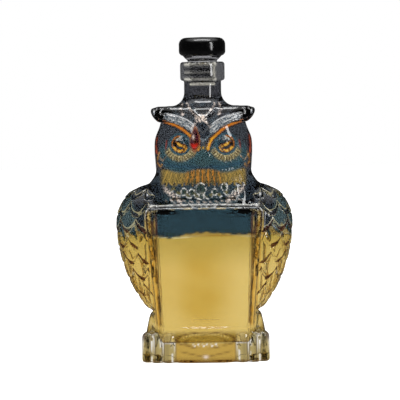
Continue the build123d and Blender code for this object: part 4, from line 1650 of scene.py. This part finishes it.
@dataclass
class Decanter:
    """The glass bottle and the liquor in it."""

    form: OwlForm
    painted_light: GlassPaintedLight = GlassPaintedLight()
    fine_step: float = 0.9
    coarse_step: float = 1.25
    liquor_step: float = 1.6
    rear_share: float = 1.6
    grid_shift: float = 0.013
    liquor_overlap: float = 0.22
    level: float = 96.0
    swell: float = 1.3
    most_triangles: int = 192_000
    row_pitch: float = 12.2
    column_pitch: float = 11.6
    feather_rise: float = 1.7
    feather_roundness: float = 0.62
    feather_edge: float = 0.12
    feather_floor: float = 38.0
    feather_start: float = 34.0
    wing_reach: float = 1.6

    def axes(self, low: Vector, high: Vector, fine: float, coarse: float) -> list[Array]:
        """An uneven grid round a box, finest over the face and even about the middle plane.

        Args:
            low: the box's low corner in metres.
            high: the box's high corner in metres.
            fine: the step over the face in millimetres.
            coarse: the step elsewhere.

        Returns:
            The places along each axis in millimetres.
        """
        (_, back, floor), (side, rear, top) = low / MM, high / MM
        form = self.form
        right = graded(fine / 2, side + 2 * coarse, ((form.chest.half_width, fine), (side, coarse)))
        along = graded(back - 3 * fine, rear + 2 * coarse,
                       ((-form.ear_back, fine), (rear, coarse * self.rear_share)))
        up = graded(floor - 2 * coarse, top + 2 * coarse,
                    ((form.panel_top - 6, coarse), (form.crown_height + 2, fine), (top, coarse)))
        return [np.concatenate([-right[::-1], right]), along, up + self.grid_shift]

    def polygons(self, name: str, field: Callable[[Array, Array, Array], Array],
                 axes: list[Array]) -> bpy.types.Mesh:
        """Meshes a field's surface.

        Args:
            name: the mesh's name.
            field: the field, negative inside.
            axes: the grid's places.

        Returns:
            The mesh.
        """
        x, y, z = axes[0][:, None, None], axes[1][None, :, None], axes[2][None, None, :]
        values = np.broadcast_to(field(x, y, z), tuple(len(axis) for axis in axes))
        points, faces = surface_of(np.ascontiguousarray(values), axes)
        points = settle(points, field)
        return mesh_from(name, points, faces)

    def mark(self, mesh: bpy.types.Mesh) -> None:
        """Stores where each corner lies on the wings, for the feathers and the shader.

        Args:
            mesh: the glass's mesh.
        """
        count = len(mesh.vertices)
        flat = np.empty(count * 3)
        mesh.vertices.foreach_get("co", flat)
        x, y, z = (flat.reshape(-1, 3) / MM).T
        across = np.abs(x)
        wing = self.form.wing
        way = wing.way_up(z)
        wide, deep = wing.half_axes(z)
        turn = np.arctan2(y / np.maximum(deep, 5), (across - wing.centre) / np.maximum(wide, 5))
        mean = 0.5 * (np.maximum(wide, 14) + np.maximum(deep, 14))
        on_wing = np.abs(wing.distance(across, y, z)) < self.wing_reach
        share = on_wing * rise(1.75, 1.35, np.abs(turn)) * rise(1.0, 0.93, way) * rise(0.0, 0.06, way)
        share = share * rise(-1.0, 1.5, across - self.feather_start)
        keep_attribute(mesh, "wing_u", turn * np.mean(mean[on_wing]) / self.column_pitch)
        keep_attribute(mesh, "wing_v", (z - self.feather_floor) / self.row_pitch)
        keep_attribute(mesh, "wing_share", share)
        outside, room = self.form.outside(x, y, z), self.form.room(x, y, z)
        keep_attribute(mesh, "inner", np.abs(room) < np.abs(outside))
        # The painted light: the refractions, highlights and shade that the glass shows, one colour for each
        # corner.
        colours = self.painted_light.colours(self.form, self.level, x, y, z)
        painted_light = mesh.attributes.new("painted_light", "FLOAT_COLOR", "POINT")
        painted_light.data.foreach_set("color", np.column_stack([colours, np.ones(count)]).astype(np.float32).ravel())

    def bottle(self, material: Material, feathers: bpy.types.NodeTree) -> bpy.types.Object:
        """Builds the glass.

        Args:
            material: its finish.
            feathers: the feathers' geometry tree.

        Returns:
            The piece.
        """
        low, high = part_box("glass_bottle")
        axes = self.axes(low, high, self.fine_step, self.coarse_step)
        mesh = self.polygons("glass_bottle_form", self.form.glass, axes)
        self.mark(mesh)
        mesh.materials.append(material)
        piece = shown("owl_glass", mesh)
        relief = piece.modifiers.new("feathers", "NODES")
        relief.node_group = feathers
        set_inputs(relief, {"Rise": self.feather_rise * MM, "Roundness": self.feather_roundness,
                            "Edge": self.feather_edge, "Material": material})
        triangles = 2 * len(mesh.polygons)
        if triangles > self.most_triangles:
            fewer = piece.modifiers.new("fewer", "DECIMATE")
            fewer.ratio = self.most_triangles / triangles
            fewer.vertex_group = self.thin_group(piece)
        baked(piece)
        LOG.info("%s: %d corners, %d faces from %d triangles", piece.name, len(piece.data.vertices),
                 len(piece.data.polygons), triangles)
        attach(piece, Body.BOTTLE.value)
        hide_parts("glass_bottle")
        return piece

    def thin_group(self, piece: bpy.types.Object) -> str:
        """Marks the inner walls as the only place where faces may go, because the painted light needs the
        rest.

        Args:
            piece: the glass.

        Returns:
            The vertex group's name.
        """
        inner = np.empty(len(piece.data.vertices), np.float32)
        piece.data.attributes["inner"].data.foreach_get("value", inner)
        group = piece.vertex_groups.new(name="inner_walls")
        group.add(np.nonzero(inner > 0.5)[0].tolist(), 1.0, "REPLACE")
        return group.name

    def liquor(self, material: Material) -> bpy.types.Object:
        """Builds the liquor, which laps a hair into the glass so that light crosses one border.

        Args:
            material: its finish.

        Returns:
            The piece.
        """
        def field(x: Array, y: Array, z: Array) -> Array:
            """The room below the level, let into the glass by the overlap."""
            top = self.level + self.swell * np.sin(x / 11.0 + 0.6) * rise(60.0, 10.0, np.abs(x))
            return smooth_max(self.form.room(x, y, z) - self.liquor_overlap, z - top, 0.6)

        low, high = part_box("liquor")
        axes = self.axes(low, high, self.liquor_step, self.liquor_step)
        mesh = self.polygons("liquor_form", field, axes)
        mesh.materials.append(material)
        piece = shown("golden_liquor", mesh)
        LOG.info("%s: %d faces", piece.name, len(mesh.polygons))
        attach(piece, Body.BOTTLE.value)
        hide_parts("liquor")
        return piece


@dataclass(frozen=True)
class Corner:
    """One corner of a turned profile: radius, height and how far it is rounded, in millimetres."""

    radius: float
    height: float
    round: float = 0.0

    def place(self) -> Vector:
        """The corner as a place in the profile's plane."""
        return Vector((self.radius, self.height))


def rounded_profile(corners: Sequence[Corner], steps: int = 6) -> list[tuple[float, float]]:
    """Rounds the corners of an open profile.

    Args:
        corners: the corners in order.
        steps: how many pieces each arc has.

    Returns:
        Radius and height of each point.
    """
    points = []
    for index, corner in enumerate(corners):
        here = corner.place()
        if corner.round <= 0 or index in (0, len(corners) - 1):
            points.append((here.x, here.y))
            continue
        back = (corners[index - 1].place() - here).normalized()
        on = (corners[index + 1].place() - here).normalized()
        half_turn = back.angle(on) / 2
        reach = corner.round / math.tan(half_turn)
        centre = here + (back + on).normalized() * corner.round / math.sin(half_turn)
        first, last = here + back * reach - centre, here + on * reach - centre
        sweep = first.angle_signed(last)
        for step in range(steps + 1):
            arm = Matrix.Rotation(-sweep * step / steps, 2) @ first
            points.append((centre.x + arm.x, centre.y + arm.y))
    return points


@dataclass
class Stopper:
    """The push-in stopper: knob, plug and sealing sleeve, each turned by one tree."""

    tree: bpy.types.NodeTree
    segments: int = 96
    knob_edge: float = 3.6
    knob_top_edge: float = 5.2
    knob_crown: float = 0.9
    socket_radius: float = 13.9
    socket_gap: float = 0.02
    flange_radius: float = 13.8
    shoulder_radius: float = 11.3
    shoulder_height: float = 0.8
    core_radius: float = 7.8
    foot_radius: float = 9.3
    foot_height: float = 2.2
    sleeve_radius: float = 9.2
    sleeve_bore: float = 7.85
    rib_count: int = 3
    rib_steps: int = 8
    rib_half_height: float = 1.35

    def turned(self, name: str, profile: Points,
               material: Material) -> bpy.types.Object:
        """Turns a profile into a piece.

        Args:
            name: the piece's name.
            profile: radius and height of each point, from the bottom up on the outside.
            material: the finish.

        Returns:
            The piece.
        """
        mesh = bpy.data.meshes.new(name + "_profile")
        mesh.from_pydata([(radius * MM, 0, height * MM) for radius, height in profile], [], [])
        mesh.materials.append(material)
        piece = shown(name, mesh)
        turning = piece.modifiers.new("turning", "NODES")
        turning.node_group = self.tree
        set_inputs(turning, {"Points": len(profile), "Segments": self.segments, "Material": material})
        baked(piece)
        piece.data.shade_smooth()
        LOG.info("%s: %d faces", piece.name, len(piece.data.polygons))
        return piece

    def knob(self, material: Material) -> bpy.types.Object:
        """Builds the black knob, with its socket for the plug's flange.

        Args:
            material: the finish.

        Returns:
            The piece.
        """
        low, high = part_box("stopper_knob")
        floor, top, radius = low.z / MM, high.z / MM, high.x / MM
        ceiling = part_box("stopper_plug")[1].z / MM + self.socket_gap
        corners = [Corner(0, ceiling), Corner(self.socket_radius, ceiling), Corner(self.socket_radius, floor),
                   Corner(radius, floor, self.knob_edge),
                   Corner(radius, top - self.knob_crown, self.knob_top_edge),
                   Corner(radius * 0.60, top - 0.25, 8.0), Corner(0, top)]
        piece = self.turned("stopper_black_knob", rounded_profile(corners, 10), material)
        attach(piece, Body.STOPPER.value)
        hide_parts("stopper_knob")
        return piece

    def plug(self, material: Material) -> bpy.types.Object:
        """Builds the clear plug.

        Args:
            material: the finish.

        Returns:
            The piece.
        """
        low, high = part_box("stopper_plug")
        lip_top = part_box("glass_bottle")[1].z / MM
        knob_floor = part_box("stopper_knob")[0].z / MM
        bottom, top, cone_radius = low.z / MM, high.z / MM, high.x / MM
        foot_top = bottom + self.foot_height
        corners = [Corner(0, bottom), Corner(self.foot_radius, bottom, 0.8),
                   Corner(self.foot_radius, foot_top, 0.3), Corner(self.core_radius, foot_top, 0.3),
                   Corner(self.core_radius, lip_top, 0.3), Corner(self.shoulder_radius, lip_top, 0.2),
                   Corner(self.shoulder_radius, lip_top + self.shoulder_height, 0.4),
                   Corner(cone_radius, knob_floor, 0.2), Corner(self.flange_radius, knob_floor),
                   Corner(self.flange_radius, top), Corner(0, top)]
        piece = self.turned("stopper_clear_plug", rounded_profile(corners, 4), material)
        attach(piece, Body.STOPPER.value)
        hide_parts("stopper_plug")
        return piece

    def seal(self, material: Material) -> bpy.types.Object:
        """Builds the ribbed sealing sleeve.

        Args:
            material: the finish.

        Returns:
            The piece.
        """
        low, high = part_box("stopper_seal")
        floor, top, rib_radius = low.z / MM, high.z / MM, high.x / MM
        sleeve, core = self.sleeve_radius, self.sleeve_bore
        pitch = (top - floor) / self.rib_count
        profile = [(core, floor), (sleeve, floor)]
        for rib in range(self.rib_count):
            middle = floor + pitch * (rib + 0.5)
            for step in range(self.rib_steps + 1):
                turn = math.pi * step / self.rib_steps
                profile.append((sleeve + (rib_radius - sleeve) * math.sin(turn),
                                middle - self.rib_half_height * math.cos(turn)))
        profile += [(sleeve, top), (core, top), (core, floor)]
        piece = self.turned("stopper_ribbed_seal", profile, material)
        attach(piece, Body.STOPPER.value)
        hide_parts("stopper_seal")
        return piece


@dataclass
class Studio:
    """The floor, the lamps, the white surround and the camera."""

    distance: float = 2.0
    azimuth: float = 0.6
    elevation: float = 3.5
    roll: float = -0.8
    frame_height: float = 0.309
    aim: Vector = Vector((-0.0032, 0, 0.1222))
    floor_half: float = 3.0
    floor_drop: float = 0.0002
    floor_tone: float = 0.82
    floor_glossy: float = 0.08
    lamp_aim: Vector = Vector((0, 0, 0.12))
    bounces: int = 24
    ceiling_low: float = 0.62
    ceiling_high: float = 0.86
    dim: float = 0.03
    bright: float = 1.1
    ambient: float = 0.35

    def floor(self) -> bpy.types.Object:
        """Lays the pale floor, which shows white but keeps the object's shadow.

        Returns:
            The floor.
        """
        half = self.floor_half
        mesh = bpy.data.meshes.new("floor")
        mesh.from_pydata([(-half, -half, 0), (half, -half, 0), (half, half, 0), (-half, half, 0)], [],
                         [(0, 1, 2, 3)])
        floor = shown("floor", mesh)
        floor.location.z = -self.floor_drop
        material, made, shader, output = start_material("pale_floor")
        path = made.add("ShaderNodeLightPath").outputs
        away = made.fill(made.add("ShaderNodeVectorMath", operation="LENGTH"), {0: made.place()})
        glow = made.ramp(away.outputs["Value"], 0.10, 0.55, 0.55, 1.0)
        made.fill(shader, {
            "Base Color": (self.floor_tone, self.floor_tone, self.floor_tone, 1), "Roughness": 0.8,
            "Emission Color": (1, 1, 1, 1),
            "Emission Strength": made.math("MULTIPLY", path["Is Camera Ray"], glow)})
        dim = made.math("MULTIPLY", path["Is Glossy Ray"], self.floor_glossy)
        plain = made.fill(made.add("ShaderNodeEmission"), {
            "Strength": made.math("MAXIMUM", path["Is Transmission Ray"], dim)})
        unseen = made.math("MAXIMUM", path["Is Transmission Ray"], path["Is Glossy Ray"])
        mixed = made.fill(made.add("ShaderNodeMixShader"), {
            0: unseen, 1: shader.outputs[0], 2: plain.outputs[0]})
        made.feed(output.inputs["Surface"], mixed.outputs[0])
        mesh.materials.append(material)
        return floor

    def world(self) -> None:
        """Makes the white surround."""
        world = bpy.data.worlds.new("studio")
        bpy.context.scene.world = world
        world.use_nodes = True
        made = Tree(world.node_tree)
        background = next(node for node in world.node_tree.nodes if node.type == "BACKGROUND")
        path = made.add("ShaderNodeLightPath").outputs
        seen = made.math("MAXIMUM", path["Is Camera Ray"], path["Is Transmission Ray"])
        upwards = made.split(made.place("Generated"))[2]
        ceiling = made.ramp(upwards, self.ceiling_low, self.ceiling_high, self.dim, self.bright)
        plain = made.math("SUBTRACT", 1.0, path["Is Glossy Ray"])
        level = made.math("ADD", made.math("MULTIPLY", path["Is Glossy Ray"], ceiling),
                          made.math("MULTIPLY", plain, self.ambient))
        made.fill(background, {"Color": (1, 1, 1, 1), "Strength": made.math("MAXIMUM", seen, level)})

    def lamp(self, name: str, place: tuple[float, float, float], size: tuple[float, float],
             power: float, mirrored: bool = False) -> None:
        """Hangs a soft lamp that points at the object.

        Args:
            name: the lamp's name.
            place: where it hangs.
            size: its width and height.
            power: its power in watts.
            mirrored: whether it shows in gloss.
        """
        light = bpy.data.lights.new(name, "AREA")
        light.shape = "RECTANGLE"
        light.size, light.size_y = size
        light.energy = power
        lamp = bpy.data.objects.new(name, light)
        lamp.location = place
        lamp.visible_glossy = mirrored
        lamp.visible_transmission = False
        aim = self.lamp_aim - Vector(place)
        lamp.rotation_euler = aim.to_track_quat("-Z", "Y").to_euler()
        bpy.context.scene.collection.objects.link(lamp)

    def camera(self) -> None:
        """Puts the camera at the photograph's angle."""
        turn, tilt = math.radians(self.azimuth), math.radians(self.elevation)
        back = Vector((math.sin(turn) * math.cos(tilt), -math.cos(turn) * math.cos(tilt), math.sin(tilt)))
        data = bpy.data.cameras.new("camera")
        data.sensor_width = 36.0
        data.lens = data.sensor_width * self.distance / self.frame_height
        camera = bpy.data.objects.new("camera", data)
        right = Vector((math.cos(turn), math.sin(turn), 0))
        target = right * self.aim.x + Vector((0, 0, self.aim.z))
        camera.location = target + back * self.distance
        look = (-back).to_track_quat("-Z", "Y")
        spin = Matrix.Rotation(math.radians(self.roll), 4, "Z")
        camera.matrix_world = Matrix.Translation(camera.location) @ look.to_matrix().to_4x4() @ spin
        bpy.context.scene.collection.objects.link(camera)
        bpy.context.scene.camera = camera

    def build(self) -> None:
        """Sets up the whole studio."""
        self.floor()
        self.world()
        self.lamp("key", (-0.9, -1.1, 1.1), (0.7, 0.7), 16.0)
        self.lamp("fill", (1.0, -0.9, 0.6), (0.22, 0.9), 7.0, True)
        self.lamp("top", (0.0, -0.1, 1.2), (0.9, 0.3), 9.0, True)
        self.camera()
        scene = bpy.context.scene
        scene.view_settings.view_transform = "Standard"
        for limit in ("max_bounces", "transmission_bounces", "transparent_max_bounces"):
            setattr(scene.cycles, limit, self.bounces)


def main() -> None:
    """Builds every piece in order and reports each one."""
    logging.basicConfig(level=logging.INFO, format="%(name)s %(message)s")
    shared = Shared()
    form = OwlForm()
    decanter = Decanter(form)
    glass = GlassFinish().build(shared, decanter.level * MM)
    decanter.bottle(glass, feather_tree())
    decanter.liquor(LiquorFinish().build())
    stopper = Stopper(turning_tree())
    stopper.knob(KnobFinish().build(shared))
    stopper.plug(ClearFinish("plug_clear", 0.03, 1.49).build(shared))
    stopper.seal(ClearFinish("seal_clear", 0.16, 1.43).build(shared))
    Studio().build()


if __name__ == "__main__":
    main()
